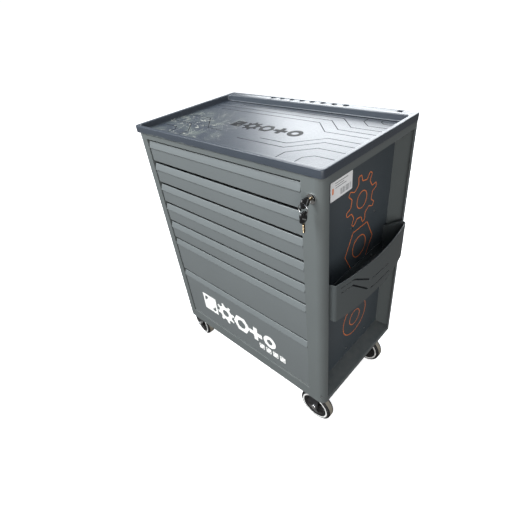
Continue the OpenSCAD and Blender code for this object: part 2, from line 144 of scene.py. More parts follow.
def fillet(points: Sequence[Point2], radius: float, closed: bool = True, steps: int = 4) -> Outline:
    """Round the corners of a polyline with arcs.

    Args:
        points: Corners of the polyline.
        radius: Largest radius of the arcs. Short sides get a smaller one.
        closed: Whether the last point joins the first.
        steps: Number of segments in each arc.

    Returns:
        The points of the rounded polyline.
    """
    corners = [Vector(p) for p in points]
    count = len(corners)
    rounded: Outline = []
    for i, corner in enumerate(corners):
        if not closed and i in (0, count - 1):
            rounded.append(corner)
            continue
        back = corners[i - 1] - corner
        ahead = corners[(i + 1) % count] - corner
        angle = back.angle(ahead)
        if angle > math.pi - STRAIGHT:
            rounded.append(corner)
            continue
        reach = min(radius / math.tan(angle / 2), SIDE_SHARE * back.length, SIDE_SHARE * ahead.length)
        bend = reach * math.tan(angle / 2)
        start = corner + back.normalized() * reach
        end = corner + ahead.normalized() * reach
        middle = corner + (back.normalized() + ahead.normalized()).normalized() * (bend / math.sin(angle / 2))
        first = start - middle
        turn = first.angle_signed(end - middle)
        rounded += [middle + Matrix.Rotation(-a, 2) @ first for a in turns(turn, steps)]
    return rounded


def shift_path(path: Sequence[Vector], amount: float, closed: bool) -> Outline:
    """Move a path sideways by a mitred offset.

    Args:
        path: Points of the path.
        amount: Size of the offset, to the left of the path for a positive amount.
        closed: Whether the last point joins the first.

    Returns:
        The points of the moved path.
    """
    moved: Outline = []
    count = len(path)
    for i, point in enumerate(path):
        before = path[i - 1] if closed or i > 0 else None
        after = path[(i + 1) % count] if closed or i < count - 1 else None
        sides = [(b - a).normalized() for a, b in ((before, point), (point, after)) if a and b]
        normals = [Vector((-d.y, d.x)) for d in sides]
        normal = sum(normals, Vector((0, 0))).normalized()
        moved.append(point + normal * (amount / max(MITRE_LIMIT, normal.dot(normals[0]))))
    return moved


def is_left_turning(path: Sequence[Vector]) -> bool:
    """Whether a closed outline runs anticlockwise."""
    return sum(a.cross(b) for a, b in zip(path, [*path[1:], path[0]])) > 0


def is_enclosed(point: Vector, sides: Sequence[tuple[Vector, Vector]]) -> bool:
    """Whether a point lies inside some closed outlines and outside their holes.

    Args:
        point: Point to test.
        sides: Both ends of every side of the outlines and the holes.

    Returns:
        Whether a line from the point crosses an odd number of sides.
    """
    crossed = 0
    for a, b in sides:
        if (a.y > point.y) != (b.y > point.y):
            crossed += point.x < a.x + (b.x - a.x) * (point.y - a.y) / (b.y - a.y)
    return crossed % 2 == 1


def nearest(points: Sequence[Vector], spot: Vector) -> int:
    """Index of the point that lies nearest to a spot."""
    return min(range(len(points)), key=lambda i: (points[i] - spot).length_squared)


def inset(outline: Sequence[Vector], amount: float) -> Outline:
    """Shrink a closed outline evenly by a small amount, or grow it by a negative one."""
    return shift_path(outline, amount if is_left_turning(outline) else -amount, True)


def ribbon(path: Sequence[Vector], width: float) -> Outline:
    """Outline of a strip of even width along an open path."""
    left, right = (shift_path(path, side * width / 2, False) for side in (1, -1))
    return left + right[::-1]


def polygon(centre: Point2, radius: float, sides: int) -> list[Point2]:
    """Corners of a regular polygon."""
    return [(centre[0] + radius * math.cos(a), centre[1] + radius * math.sin(a)) for a in full_turn(sides)]


def circle(centre: Point2, radius: float, steps: int = 40) -> Outline:
    """Points of a circle."""
    return [Vector(p) for p in polygon(centre, radius, steps)]


def rounded_rect(lo: Point2, hi: Point2, radius: float, steps: int = 5) -> Outline:
    """Rectangle between two corners, with rounded corners."""
    corners = [(lo[0], lo[1]), (hi[0], lo[1]), (hi[0], hi[1]), (lo[0], hi[1])]
    return fillet(corners, radius, steps=steps)


def rect_ring(lo: Point2, hi: Point2, radius: float, grow: float, z: float) -> list[Vector]:
    """Level ring of a rounded rectangle that is grown on all sides."""
    spread = rounded_rect((lo[0] - grow, lo[1] - grow), (hi[0] + grow, hi[1] + grow),
                          max(radius + grow, 0.5 * MM))
    return [Vector((p.x, p.y, z)) for p in spread]


def rings_of(outline: Outline, levels: Iterable[Point2], plane: Plane = Plane.XY) -> list[Outline]:
    """Copies of an outline at several depths.

    Args:
        outline: Closed outline.
        levels: How far the outline shrinks at each depth, and the depth.
        plane: Plane that the outline is drawn in.

    Returns:
        The points of each copy.
    """
    rings = []
    for shrink, depth in levels:
        drawn = inset(outline, shrink) if abs(shrink) > LEAST else outline
        rings.append([plane.point(p.x, p.y, depth) for p in drawn])
    return rings


# ---- Shader trees ----


def linear(colour: Colour) -> tuple[float, float, float, float]:
    """Turn a display colour into linear values.

    Args:
        colour: Red, green and blue from 0 to 255.

    Returns:
        Red, green, blue and alpha from 0 to 1.
    """
    values = [c / 255 for c in colour]
    red, green, blue = [v / 12.92 if v < 0.04045 else ((v + 0.055) / 1.055) ** 2.4 for v in values]
    return (red, green, blue, 1.0)


class Tree:
    """Short hand for adding and linking the nodes of one shader tree."""

    def __init__(self, tree: bpy.types.NodeTree) -> None:
        """Work on a tree."""
        self.tree = tree

    def feed(self, socket: bpy.types.NodeSocket, value: Any) -> None:
        """Give an input its value.

        Args:
            socket: The input.
            value: Another socket to link it to, or a plain value.
        """
        if isinstance(value, bpy.types.NodeSocket):
            self.tree.links.new(value, socket)
        else:
            socket.default_value = value

    def node(self, kind: str, settings: dict[str, Any] | None = None, **inputs: Any) -> bpy.types.Node:
        """Add a node.

        Args:
            kind: Type of the node, without its ShaderNode prefix.
            settings: Properties of the node.
            inputs: Values or links for its inputs, by name, with _ for a space.

        Returns:
            The new node.
        """
        made = self.tree.nodes.new(f"ShaderNode{kind}")
        for name, value in (settings or {}).items():
            setattr(made, name, value)
        for name, value in inputs.items():
            self.feed(made.inputs[name.replace("_", " ")], value)
        return made

    def combine(self, kind: str, settings: dict[str, Any], output: int | str,
                values: dict[int, Any]) -> bpy.types.NodeSocket:
        """Add a node whose inputs are told apart by number.

        Args:
            kind: Type of the node, without its ShaderNode prefix.
            settings: Properties of the node.
            output: Number or name of the output to give.
            values: Values or links for its inputs, by number.

        Returns:
            The output of the new node.
        """
        made = self.node(kind, settings)
        for index, value in values.items():
            self.feed(made.inputs[index], value)
        return made.outputs[output]

    def math(self, operation: str, *values: Any) -> bpy.types.NodeSocket:
        """Result of a Math node."""
        return self.combine("Math", {"operation": operation}, 0, dict(enumerate(values)))

    def product(self, *values: Any) -> Any:
        """Product of some values, taken in order."""
        return functools.reduce(lambda first, second: self.math("MULTIPLY", first, second), values)

    def measure(self, operation: str, first: Any, second: Any) -> bpy.types.NodeSocket:
        """Number that a Vector Math node makes of two vectors."""
        return self.combine("VectorMath", {"operation": operation}, "Value", {0: first, 1: second})

    def mix(self, factor: Any, first: Any, second: Any) -> bpy.types.NodeSocket:
        """Blend of two colours."""
        return self.combine("Mix", {"data_type": "RGBA"}, 2, {0: factor, 6: first, 7: second})

    def scale(self, colour: tuple[float, ...], factor: Any) -> bpy.types.NodeSocket:
        """Colour times a number."""
        return self.combine("VectorMath", {"operation": "SCALE"}, 0, {0: colour[:3], 3: factor})

    def place(self) -> bpy.types.NodeSocket:
        """Position on the piece, in metres."""
        return self.node("TexCoord").outputs["Object"]

    def turned(self, angle: Any) -> bpy.types.NodeSocket:
        """Position on the piece, turned about the Z axis."""
        turn = self.node("VectorRotate", {"rotation_type": "Z_AXIS"}, Vector=self.place(), Angle=angle)
        return turn.outputs[0]

    def normal(self) -> bpy.types.NodeSocket:
        """Direction that the surface faces."""
        return self.node("NewGeometry").outputs["Normal"]

    def axis(self, vector: Any, name: str) -> bpy.types.NodeSocket:
        """One coordinate of a vector, by its name."""
        return self.node("SeparateXYZ", Vector=vector).outputs[name]

    def noise(self, vector: Any, scale: Any, detail: float = 2.0) -> bpy.types.NodeSocket:
        """Smooth noise from 0 to 1."""
        return self.node("TexNoise", Vector=vector, Scale=scale, Detail=detail).outputs["Fac"]

    def step(self, value: Any, low: Any, high: Any) -> bpy.types.NodeSocket:
        """Ramp from 0 to 1 between two values."""
        return self.node("MapRange", Value=value, From_Min=low, From_Max=high).outputs["Result"]

    def effect(self, group: bpy.types.NodeTree, **inputs: Any) -> bpy.types.NodeSocket:
        """Place a shared effect and give its only output."""
        return self.node("Group", {"node_tree": group}, **inputs).outputs[0]


class Effect:
    """Starts a node group with float inputs and one float output."""

    def __init__(self, name: str, output: str, **inputs: float) -> None:
        """Make the group.

        Args:
            name: Name of the group.
            output: Name of its output.
            inputs: Names and default values of its inputs.
        """
        self.group = bpy.data.node_groups.new(name, "ShaderNodeTree")
        for label, value in inputs.items():
            socket = self.group.interface.new_socket(label, in_out="INPUT", socket_type="NodeSocketFloat")
            socket.default_value = value
        self.group.interface.new_socket(output, in_out="OUTPUT", socket_type="NodeSocketFloat")
        self.tree = Tree(self.group)
        self.inputs = self.group.nodes.new("NodeGroupInput").outputs
        self.result = self.group.nodes.new("NodeGroupOutput").inputs[0]

    def over(self, share: float, name: str) -> bpy.types.NodeSocket:
        """A number divided by an input."""
        return self.tree.math("DIVIDE", share, self.inputs[name])

    def finish(self, value: bpy.types.NodeSocket) -> bpy.types.NodeTree:
        """Link the output and give the group."""
        self.tree.feed(self.result, value)
        return self.group


@functools.cache
def mottle_effect() -> bpy.types.NodeTree:
    """Build the slow change of tone across a surface.

    Returns:
        A group whose factor varies around 1.
    """
    effect = Effect("Mottle", "Factor", Size=0.1, Depth=0.05)
    tree = effect.tree
    wide = tree.noise(tree.place(), effect.over(1.0, "Size"), 3.0)
    centred = tree.product(tree.math("SUBTRACT", wide, 0.5), 2.0)
    return effect.finish(tree.math("MULTIPLY_ADD", centred, effect.inputs["Depth"], 1.0))


@functools.cache
def grain_effect() -> bpy.types.NodeTree:
    """Build the fine relief of a powder coat or of moulded plastic.

    Returns:
        A group whose height feeds a bump.
    """
    effect = Effect("Grain", "Height", Size=0.001)
    tree = effect.tree
    fine = tree.noise(tree.place(), effect.over(1.0, "Size"), 2.0)
    broad = tree.noise(tree.place(), effect.over(0.3, "Size"), 1.0)
    return effect.finish(tree.math("MULTIPLY_ADD", broad, 0.5, fine))


@functools.cache
def wear_effect() -> bpy.types.NodeTree:
    """Build the mask of the edges where a finish is rubbed away, broken up unevenly.

    Returns:
        A group whose mask is 1 where the finish is gone.
    """
    effect = Effect("Edge wear", "Mask", Width=0.001, Amount=0.5)
    tree = effect.tree
    soft = tree.node("Bevel", {"samples": 4}, Radius=effect.inputs["Width"]).outputs[0]
    edge = tree.step(tree.measure("DOT_PRODUCT", soft, tree.normal()), 0.995, 0.9)
    patches = tree.step(tree.noise(tree.place(), 55.0, 5.0), 0.42, 0.68)
    return effect.finish(tree.product(edge, patches, effect.inputs["Amount"]))


@functools.cache
def dust_effect() -> bpy.types.NodeTree:
    """Build the mask of the dust that lies on faces that look up.

    Returns:
        A group whose mask is the cover of the dust.
    """
    effect = Effect("Dust", "Mask", Amount=0.3, Size=0.03)
    tree = effect.tree
    upward = tree.step(tree.axis(tree.normal(), "Z"), 0.3, 0.95)
    clouds = tree.noise(tree.place(), effect.over(1.0, "Size"), 6.0)
    return effect.finish(tree.product(upward, tree.step(clouds, 0.35, 0.75), effect.inputs["Amount"]))


@functools.cache
def streak_effect() -> bpy.types.NodeTree:
    """Build the mask of thin marks that all run the same way.

    Returns:
        A group whose mask is 1 on a mark.
    """
    effect = Effect("Streaks", "Mask", Length=0.04, Width=0.001, Turn=0.0, Level=0.7)
    tree = effect.tree
    turned = tree.turned(effect.inputs["Turn"])
    sizes = {"X": "Length", "Y": "Width", "Z": "Width"}
    shares = {axis: tree.math("DIVIDE", tree.axis(turned, axis), effect.inputs[size])
              for axis, size in sizes.items()}
    lines = tree.noise(tree.node("CombineXYZ", **shares).outputs[0], 1.0, 0.0)
    above = tree.math("ADD", effect.inputs["Level"], 0.04)
    return effect.finish(tree.step(lines, effect.inputs["Level"], above))


@functools.cache
def scratch_effect() -> bpy.types.NodeTree:
    """Build the mask of long thin scratches, broken into pieces, that run nearly the same way.

    Returns:
        A group whose mask is 1 on a scratch.
    """
    effect = Effect("Scratches", "Mask", Length=0.15, Spacing=0.02, Turn=0.0, Width=0.01)
    tree = effect.tree
    turned = tree.turned(effect.inputs["Turn"])
    along = tree.math("DIVIDE", tree.axis(turned, "X"), effect.inputs["Length"])
    across = tree.math("DIVIDE", tree.axis(turned, "Y"), effect.inputs["Spacing"])
    spread = tree.node("CombineXYZ", X=along, Y=across, Z=effect.inputs["Turn"]).outputs[0]
    away = tree.math("ABSOLUTE", tree.math("SUBTRACT", tree.noise(spread, 1.0, 1.0), 0.5))
    line = tree.step(away, effect.inputs["Width"], tree.product(effect.inputs["Width"], 0.4))
    breaks = tree.step(tree.noise(turned, 26.0, 3.0), 0.5, 0.58)
    return effect.finish(tree.product(line, breaks))


# ---- Finishes ----


@dataclass(frozen=True)
class Finish:
    """A painted, moulded or plated surface.

    Colours are display values from 0 to 255 and sizes are in metres.
    """

    name: str
    colour: Colour
    roughness: float
    metallic: float = 0.0
    specular: float = 0.5
    coat: float = 0.0
    mottle: float = 0.06
    mottle_size: float = 0.12
    grain: float = 1.2 * MM
    relief: float = 0.03 * MM
    worn: Colour = (150, 152, 152)
    wear: float = 0.0
    wear_width: float = 1.2 * MM
    worn_shine: float = 0.25
    dust: float = 0.0
    dust_colour: Colour = (150, 146, 138)
    dust_size: float = 25 * MM
    dust_rough: float = 0.4
    marks: float = 0.0

    def tint(self, tree: Tree, colour: bpy.types.NodeSocket) -> bpy.types.NodeSocket:
        """Change the colour before wear and dust are laid on."""
        return colour

    def height(self, tree: Tree, grain: bpy.types.NodeSocket) -> bpy.types.NodeSocket:
        """Change the relief that feeds the bump."""
        return grain

    def build(self) -> bpy.types.Material:
        """Build the material.

        Returns:
            A node material with varying colour, roughness and relief.
        """
        material = bpy.data.materials.new(self.name)
        material.use_nodes = True
        tree = Tree(material.node_tree)
        shader = material.node_tree.nodes["Principled BSDF"]
        tone = tree.effect(mottle_effect(), Size=self.mottle_size, Depth=self.mottle)
        colour = self.tint(tree, tree.scale(linear(self.colour), tone))
        rough = tree.product(tone, self.roughness)
        if self.marks:
            scuffs = tree.effect(streak_effect(), Length=30 * MM, Width=0.8 * MM, Turn=0.5, Level=0.72)
            colour = tree.mix(tree.product(scuffs, self.marks), colour, linear(self.worn))
        if self.wear:
            mask = tree.effect(wear_effect(), Width=self.wear_width, Amount=self.wear)
            colour = tree.mix(mask, colour, linear(self.worn))
            rough = tree.math("MULTIPLY_ADD", mask, -self.worn_shine * self.roughness, rough)
        if self.dust:
            mask = tree.effect(dust_effect(), Amount=self.dust, Size=self.dust_size)
            colour = tree.mix(mask, colour, linear(self.dust_colour))
            rough = tree.math("MULTIPLY_ADD", mask, self.dust_rough, rough)
        relief = self.height(tree, tree.effect(grain_effect(), Size=self.grain))
        bump = tree.node("Bump", Strength=1.0, Distance=self.relief, Height=relief)
        tree.feed(shader.inputs["Base Color"], colour)
        tree.feed(shader.inputs["Roughness"], rough)
        tree.feed(shader.inputs["Normal"], bump.outputs[0])
        shader.inputs["Metallic"].default_value = self.metallic
        shader.inputs["Specular IOR Level"].default_value = self.specular
        shader.inputs["Coat Weight"].default_value = self.coat
        return material


@dataclass(frozen=True)
class PowderCoat(Finish):
    """Paint baked on sheet metal, with a coarse grain."""

    grain: float = 1.5 * MM
    relief: float = 0.04 * MM


@dataclass(frozen=True)
class BrushedMetal(Finish):
    """Rolled or turned metal with fine lines along one way."""

    metallic: float = 1.0
    relief: float = 0.01 * MM

    def height(self, tree: Tree, grain: bpy.types.NodeSocket) -> bpy.types.NodeSocket:
        """Add fine rolling lines to the grain."""
        lines = tree.effect(streak_effect(), Length=20 * MM, Width=0.3 * MM, Turn=math.pi / 2, Level=0.5)
        return tree.math("MULTIPLY_ADD", lines, 0.6, grain)


@dataclass(frozen=True)
class UsedTray(Finish):
    """Grained plastic with pale scratches and dust in one corner, where things are dragged.

    Each stroke has the turn of a set of scratches in radians, their spacing in metres and their width on
    the scale of the noise that draws them.
    """

    corner: Point3 = (0.0, 0.0, 0.0)
    reach: float = 0.2
    haze: Colour = (122, 130, 120)
    scratch: Colour = (212, 212, 196)
    speck: Colour = (190, 190, 178)
    scratch_length: float = 170 * MM
    strokes: tuple[Point3, ...] = ((0.75, 21 * MM, 0.008), (2.2, 29 * MM, 0.007), (0.15, 25 * MM, 0.006),
                                   (1.3, 35 * MM, 0.006))

    def tint(self, tree: Tree, colour: bpy.types.NodeSocket) -> bpy.types.NodeSocket:
        """Lay dust, specks and crossing scratches over the corner.

        Args:
            tree: Tree of the material.
            colour: Colour of the clean plastic.

        Returns:
            Colour of the used plastic.
        """
        away = tree.measure("DISTANCE", tree.place(), self.corner)
        low = tree.step(tree.axis(tree.place(), "Z"), self.corner[2] + 2 * MM, self.corner[2] + 1 * MM)
        near = tree.product(low, tree.step(away, self.reach, 0.35 * self.reach))
        haze = tree.product(near, tree.step(tree.noise(tree.place(), 22.0, 8.0), 0.45, 0.75), 0.55)
        colour = tree.mix(haze, colour, linear(self.haze))
        for turn, spacing, width in self.strokes:
            lines = tree.effect(scratch_effect(), Length=self.scratch_length, Spacing=spacing, Turn=turn,
                                Width=width)
            colour = tree.mix(tree.product(lines, near, 0.85), colour, linear(self.scratch))
        specks = tree.step(tree.noise(tree.place(), 240.0, 2.0), 0.7, 0.76)
        return tree.mix(tree.product(specks, near, 0.6), colour, linear(self.speck))


@functools.cache
def material(finish: Finish) -> bpy.types.Material:
    """The material of a finish, built once."""
    return finish.build()


FRONT = PowderCoat("Front paint", (101, 106, 107), 0.42, mottle=0.05, wear=0.35)
# Body paint: the front paint made a little darker, as painted shade for the posts, rails and panels that get less
# light than the drawer fronts.
SHADED_BODY = PowderCoat("Body paint with painted shade", (94, 99, 99), 0.45, wear=0.3, dust=0.15)
PANEL = PowderCoat("Side panel paint", (66, 73, 78), 0.5, wear=0.2, marks=0.12)
BIN = PowderCoat("Bin paint", (76, 81, 82), 0.42, wear=0.4, dust=0.2)
BOX_PAINT = Finish("Drawer paint", (88, 92, 93), 0.5, wear=0.3, dust=0.25, marks=0.25)
SLIDE = BrushedMetal("Slide zinc", (178, 180, 178), 0.36)
ZINC = BrushedMetal("Bolt zinc", (186, 188, 186), 0.3)
BRASS = BrushedMetal("Key brass", (128, 112, 88), 0.35)
CHROME = Finish("Chrome", (225, 226, 226), 0.12, metallic=1.0, mottle=0.03, relief=0.002 * MM)
CASTER = Finish("Caster enamel", (30, 31, 33), 0.38, wear=0.45, worn=(120, 120, 118), dust=0.35, marks=0.1)
BRAKE = Finish("Brake pedal", (26, 26, 28), 0.35, wear=0.5, worn=(95, 95, 95), dust=0.3, marks=0.2)
HUB = Finish("Hub plastic", (24, 24, 25), 0.5, grain=0.8 * MM, dust=0.2, dust_colour=(96, 88, 74))
TYRE = Finish("Tyre rubber", (22, 22, 23), 0.62, grain=0.9 * MM, relief=0.06 * MM, mottle=0.2,
              mottle_size=12 * MM)
TREAD = Finish("Dusty tread", (142, 136, 124), 0.85, grain=1.1 * MM, relief=0.1 * MM, mottle=0.25,
               mottle_size=9 * MM, worn=(90, 84, 74), marks=0.5)
RING = Finish("White wheel ring", (228, 228, 226), 0.4, mottle=0.08, mottle_size=15 * MM,
              worn=(150, 146, 138), marks=0.35)
TRAY = UsedTray("Worktop plastic", (58, 64, 72), 0.34, grain=2.6 * MM, relief=0.55 * MM, specular=0.6,
                wear=0.25, worn=(120, 128, 140), mottle=0.08, mottle_size=70 * MM)
# Near-black finish for the tray's engraved lines and gutter: painted shade in the grooves of the one-colour
# plastic.
GROOVE_SHADE = Finish("Painted groove shade", (22, 24, 28), 0.7, specular=0.15, grain=1.0 * MM)
MARK = Finish("Dark inlay", (17, 18, 20), 0.55, specular=0.15, grain=1.4 * MM, relief=0.05 * MM, marks=0.15,
              mottle=0.15)
KEY = Finish("Key plastic", (20, 20, 22), 0.36, grain=0.7 * MM, wear=0.4, worn=(70, 70, 70))
KEY_STRIPE = Finish("Key stripe", (120, 122, 122), 0.4, grain=0.7 * MM)
WHITE = Finish("White film", (240, 240, 237), 0.35, mottle=0.03, relief=0.01 * MM, worn=(190, 190, 186),
               wear=0.2)
ORANGE = Finish("Orange film", (246, 132, 66), 0.4, mottle=0.06, relief=0.01 * MM, worn=(120, 70, 50),
                wear=0.2)
PAPER = Finish("Label paper", (250, 250, 251), 0.5, mottle=0.04, relief=0.02 * MM)
INK = Finish("Label ink", (150, 153, 156), 0.6, mottle=0.1, mottle_size=6 * MM)
FLOOR = Finish("Studio paper", (225, 225, 225), 0.95, mottle=0.01, specular=0.05)


# ---- Meshes ----


@dataclass
class Box:
    """Space that a part of the frame fills."""

    lo: Vector
    hi: Vector

    @classmethod
    def of(cls, node: str) -> "Box":
        """The box of a node at rest."""
        lo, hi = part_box(node)
        return cls(Vector(lo), Vector(hi))

    @property
    def centre(self) -> Vector:
        """Middle of the box."""
        return (self.lo + self.hi) / 2


ORIGIN = Box.of("worktop").centre


class Builder:
    """Collects the faces of one piece."""

    def __init__(self) -> None:
        """Start an empty piece."""
        self.bm = bmesh.new()
        self.slot = 0

    def face(self, corners: Iterable[bmesh.types.BMVert]) -> None:
        """Add a face in the current material slot."""
        made = self.bm.faces.new(list(corners))
        made.material_index = self.slot

    def loop(self, points: Iterable[Vector]) -> Loop:
        """Add the points of a loop."""
        return [self.bm.verts.new(p) for p in points]

    def bridge(self, first: Loop, second: Loop) -> None:
        """Join two closed loops with a band of faces.

        Args:
            first: One loop.
            second: The other, with as many points.
        """
        count = len(first)
        for i in range(count):
            j = (i + 1) % count
            self.face((first[i], first[j], second[j], second[i]))

    def cap(self, outer: Loop, *holes: Loop) -> None:
        """Fill a loop that lies flat across one of the axes.

        Args:
            outer: Loop to fill.
            holes: Loops inside it that stay open.
        """
        loops = [outer, *holes]
        corners = [vert for loop in loops for vert in loop]
        across = min(range(3), key=lambda i: max(v.co[i] for v in outer) - min(v.co[i] for v in outer))
        first, second = [i for i in range(3) if i != across]
        flat = [Vector((vert.co[first], vert.co[second])) / MM for vert in corners]
        edges: list[tuple[int, int]] = []
        for loop in loops:
            start = len(edges)
            edges += [(start + i, start + (i + 1) % len(loop)) for i in range(len(loop))]
        spots, _, triangles, sources, _, _ = delaunay_2d_cdt(flat, edges, [], 0, 1e-5)
        sides = [(flat[i], flat[j]) for i, j in edges]
        for triangle in triangles:
            middle = sum((spots[i] for i in triangle), Vector((0, 0))) / 3
            picked = {sources[i][0] if sources[i] else nearest(flat, spots[i]) for i in triangle}
            if len(picked) == 3 and is_enclosed(middle, sides):
                self.face(corners[i] for i in picked)

    def stack(self, rings: Sequence[Sequence[Vector]]) -> tuple[Loop, Loop]:
        """Join closed rings one after the other.

        Args:
            rings: Points of each ring, as many in each.

        Returns:
            The first and the last loop.
        """
        loops = [self.loop(ring) for ring in rings]
        for first, second in zip(loops, loops[1:]):
            self.bridge(first, second)
        return loops[0], loops[-1]

    def prism(self, outline: Outline, plane: Plane, low: float, high: float, holes: Sequence[Outline] = (),
              soft: float = 0.0) -> None:
        """Add a solid of even section.

        Args:
            outline: Section of the solid.
            plane: Plane that the section is drawn in.
            low: Depth of one end along the plane's normal.
            high: Depth of the other end.
            holes: Outlines of holes that go right through.
            soft: Radius of the rounded edge at both ends.
        """
        levels = [(0.0, low), (0.0, high)]
        if soft:
            levels = [(soft * (1 - out), low + soft * back) for out, back in quarter(3)]
            levels += [(shrink, low + high - depth) for shrink, depth in reversed(levels)]
        ends: tuple[list[Loop], list[Loop]] = ([], [])
        for index, shape in enumerate([outline, *holes]):
            way = -1 if index else 1
            loops = self.stack(rings_of(shape, [(way * shrink, depth) for shrink, depth in levels], plane))
            for end, loop in zip(ends, loops):
                end.append(loop)
        for end in ends:
            self.cap(*end)

    def block(self, lo: Vector, hi: Vector) -> None:
        """Add a rectangular solid."""
        corners = rounded_rect((lo.x, lo.y), (hi.x, hi.y), 0.05 * MM, steps=2)
        self.prism(corners, Plane.XY, lo.z, hi.z)

    def lathe(self, profile: Sequence[Point2], matrix: Matrix, segments: int = 96) -> None:
        """Turn a closed profile about the Y axis.

        Args:
            profile: Radius and height of each point, in metres.
            matrix: Place of the turned shape.
            segments: Number of segments round the axis.
        """
        rings = []
        for r, height in profile:
            spots = [Vector((r * math.cos(a), height, r * math.sin(a))) for a in full_turn(segments)]
            rings.append(self.loop(matrix @ spot for spot in spots))
        for first, second in zip(rings, [*rings[1:], rings[0]]):
            self.bridge(first, second)

    def place(self, matrix: Matrix, start: int = 0) -> None:
        """Move the points that were added since a count.

        Args:
            matrix: The move.
            start: How many points were there before.
        """
        self.bm.verts.ensure_lookup_table()
        for vert in self.bm.verts[start:]:
            vert.co = matrix @ vert.co

    def piece(self, name: str, body: str, slot: Slot, *finishes: Finish, replaces: Sequence[str] = (),
              crease: float = 32.0) -> bpy.types.Object:
        """Turn the faces into a finished piece that rides on a body.

        Args:
            name: Name of the piece.
            body: Body that it moves with.
            slot: Material slot of the record. Not used.
            finishes: Finishes, in the order of the material slots of its faces.
            replaces: Nodes of the frame that it stands for.
            crease: Angle in degrees above which an edge stays sharp.

        Returns:
            The new object.
        """
        bmesh.ops.remove_doubles(self.bm, verts=self.bm.verts, dist=1e-7)
        bmesh.ops.delete(self.bm, geom=[edge for edge in self.bm.edges if edge.is_wire], context="EDGES")
        bmesh.ops.recalc_face_normals(self.bm, faces=self.bm.faces)
        mesh = bpy.data.meshes.new(name)
        self.bm.to_mesh(mesh)
        self.bm.free()
        for finish in finishes:
            mesh.materials.append(material(finish))
        mesh.shade_smooth()
        mesh.set_sharp_from_angle(angle=math.radians(crease))
        made = bpy.data.objects.new(name, mesh)
        bpy.context.scene.collection.objects.link(made)
        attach(made, body)
        if replaces:
            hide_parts(*replaces)
        log.info("%s on %s, %d faces", name, body, len(mesh.polygons))
        return made


def dress(node: str, finish: Finish, edge: float = 0.35 * MM) -> None:
    """Give a part of the frame its finish and break its sharp edges.

    Args:
        node: Name of the node.
        finish: Finish of the whole node.
        edge: Width of the broken edges, or 0 to leave them.
    """
    part = frame["nodes"][node]
    for holder in part.material_slots:
        holder.link = "OBJECT"
        holder.material = material(finish)
    if edge:
        weld = part.modifiers.new("weld", "WELD")
        weld.merge_threshold = 0.001 * MM
        bevel = part.modifiers.new("edges", "BEVEL")
        bevel.width = edge
        bevel.segments = 2
        bevel.limit_method = "ANGLE"
        bevel.angle_limit = math.radians(40)
        normals = part.modifiers.new("normals", "WEIGHTED_NORMAL")
        normals.keep_sharp = True
    log.info("%s dressed in %s", node, finish.name)


# ---- Cut film graphics ----


@dataclass(frozen=True)
class Shape:
    """A plain cut shape with its holes, centred on a point."""

    outline: tuple[Point2, ...]
    holes: tuple[tuple[Point2, ...], ...] = ()

    def at(self, centre: Point2, size: float, corner: float) -> tuple[Outline, list[Outline]]:
        """Scale a shape that is drawn two units across and move it to its place.

        Args:
            centre: Where its middle goes.
            size: Its size across.
            corner: Radius of its rounded corners.

        Returns:
            Its outline and the outlines of its holes.
        """
        placed = []
        for points in (self.outline, *self.holes):
            spread = [(centre[0] + u * size / 2, centre[1] + v * size / 2) for u, v in points]
            placed.append(fillet(spread, corner, steps=3))
        return placed[0], placed[1:]


def ring_points(radius: float, sides: int) -> tuple[Point2, ...]:
    """Corners of a regular polygon about the centre."""
    return tuple(polygon((0.0, 0.0), radius, sides))


def gear_points(teeth: int, tip: float, root: float) -> tuple[Point2, ...]:
    """Outline of a gear with square teeth.

    Args:
        teeth: Number of teeth.
        tip: Radius of their tips.
        root: Radius between them.

    Returns:
        The corners of the outline.
    """
    points: list[Point2] = []
    for tooth in range(teeth):
        for share, radius in ((0.02, root), (0.14, tip), (0.40, tip), (0.52, root)):
            angle = math.tau * (tooth + share) / teeth
            points.append((radius * math.cos(angle), radius * math.sin(angle)))
    return tuple(points)


NUT = Shape(ring_points(1.08, 6), (ring_points(0.52, 24),))
WASHER = Shape(ring_points(1.0, 36), (ring_points(0.45, 24),))
GEAR = Shape(gear_points(8, 1.05, 0.76), (ring_points(0.36, 24),))
PLUS = Shape(((-0.3, -1), (0.3, -1), (0.3, -0.3), (1, -0.3), (1, 0.3), (0.3, 0.3), (0.3, 1), (-0.3, 1),
              (-0.3, 0.3), (-1, 0.3), (-1, -0.3), (-0.3, -0.3)))
TILE = Shape(((-0.95, -1), (0.95, -1), (0.95, 1), (-0.95, 1)),
             (((-0.7, 0.1), (-0.15, 0.65), (-0.45, 0.8), (-0.72, 0.6)),
              ((0.15, -0.65), (0.7, -0.1), (0.72, -0.6), (0.45, -0.8))))

Placed = tuple[Shape, float, float, float]


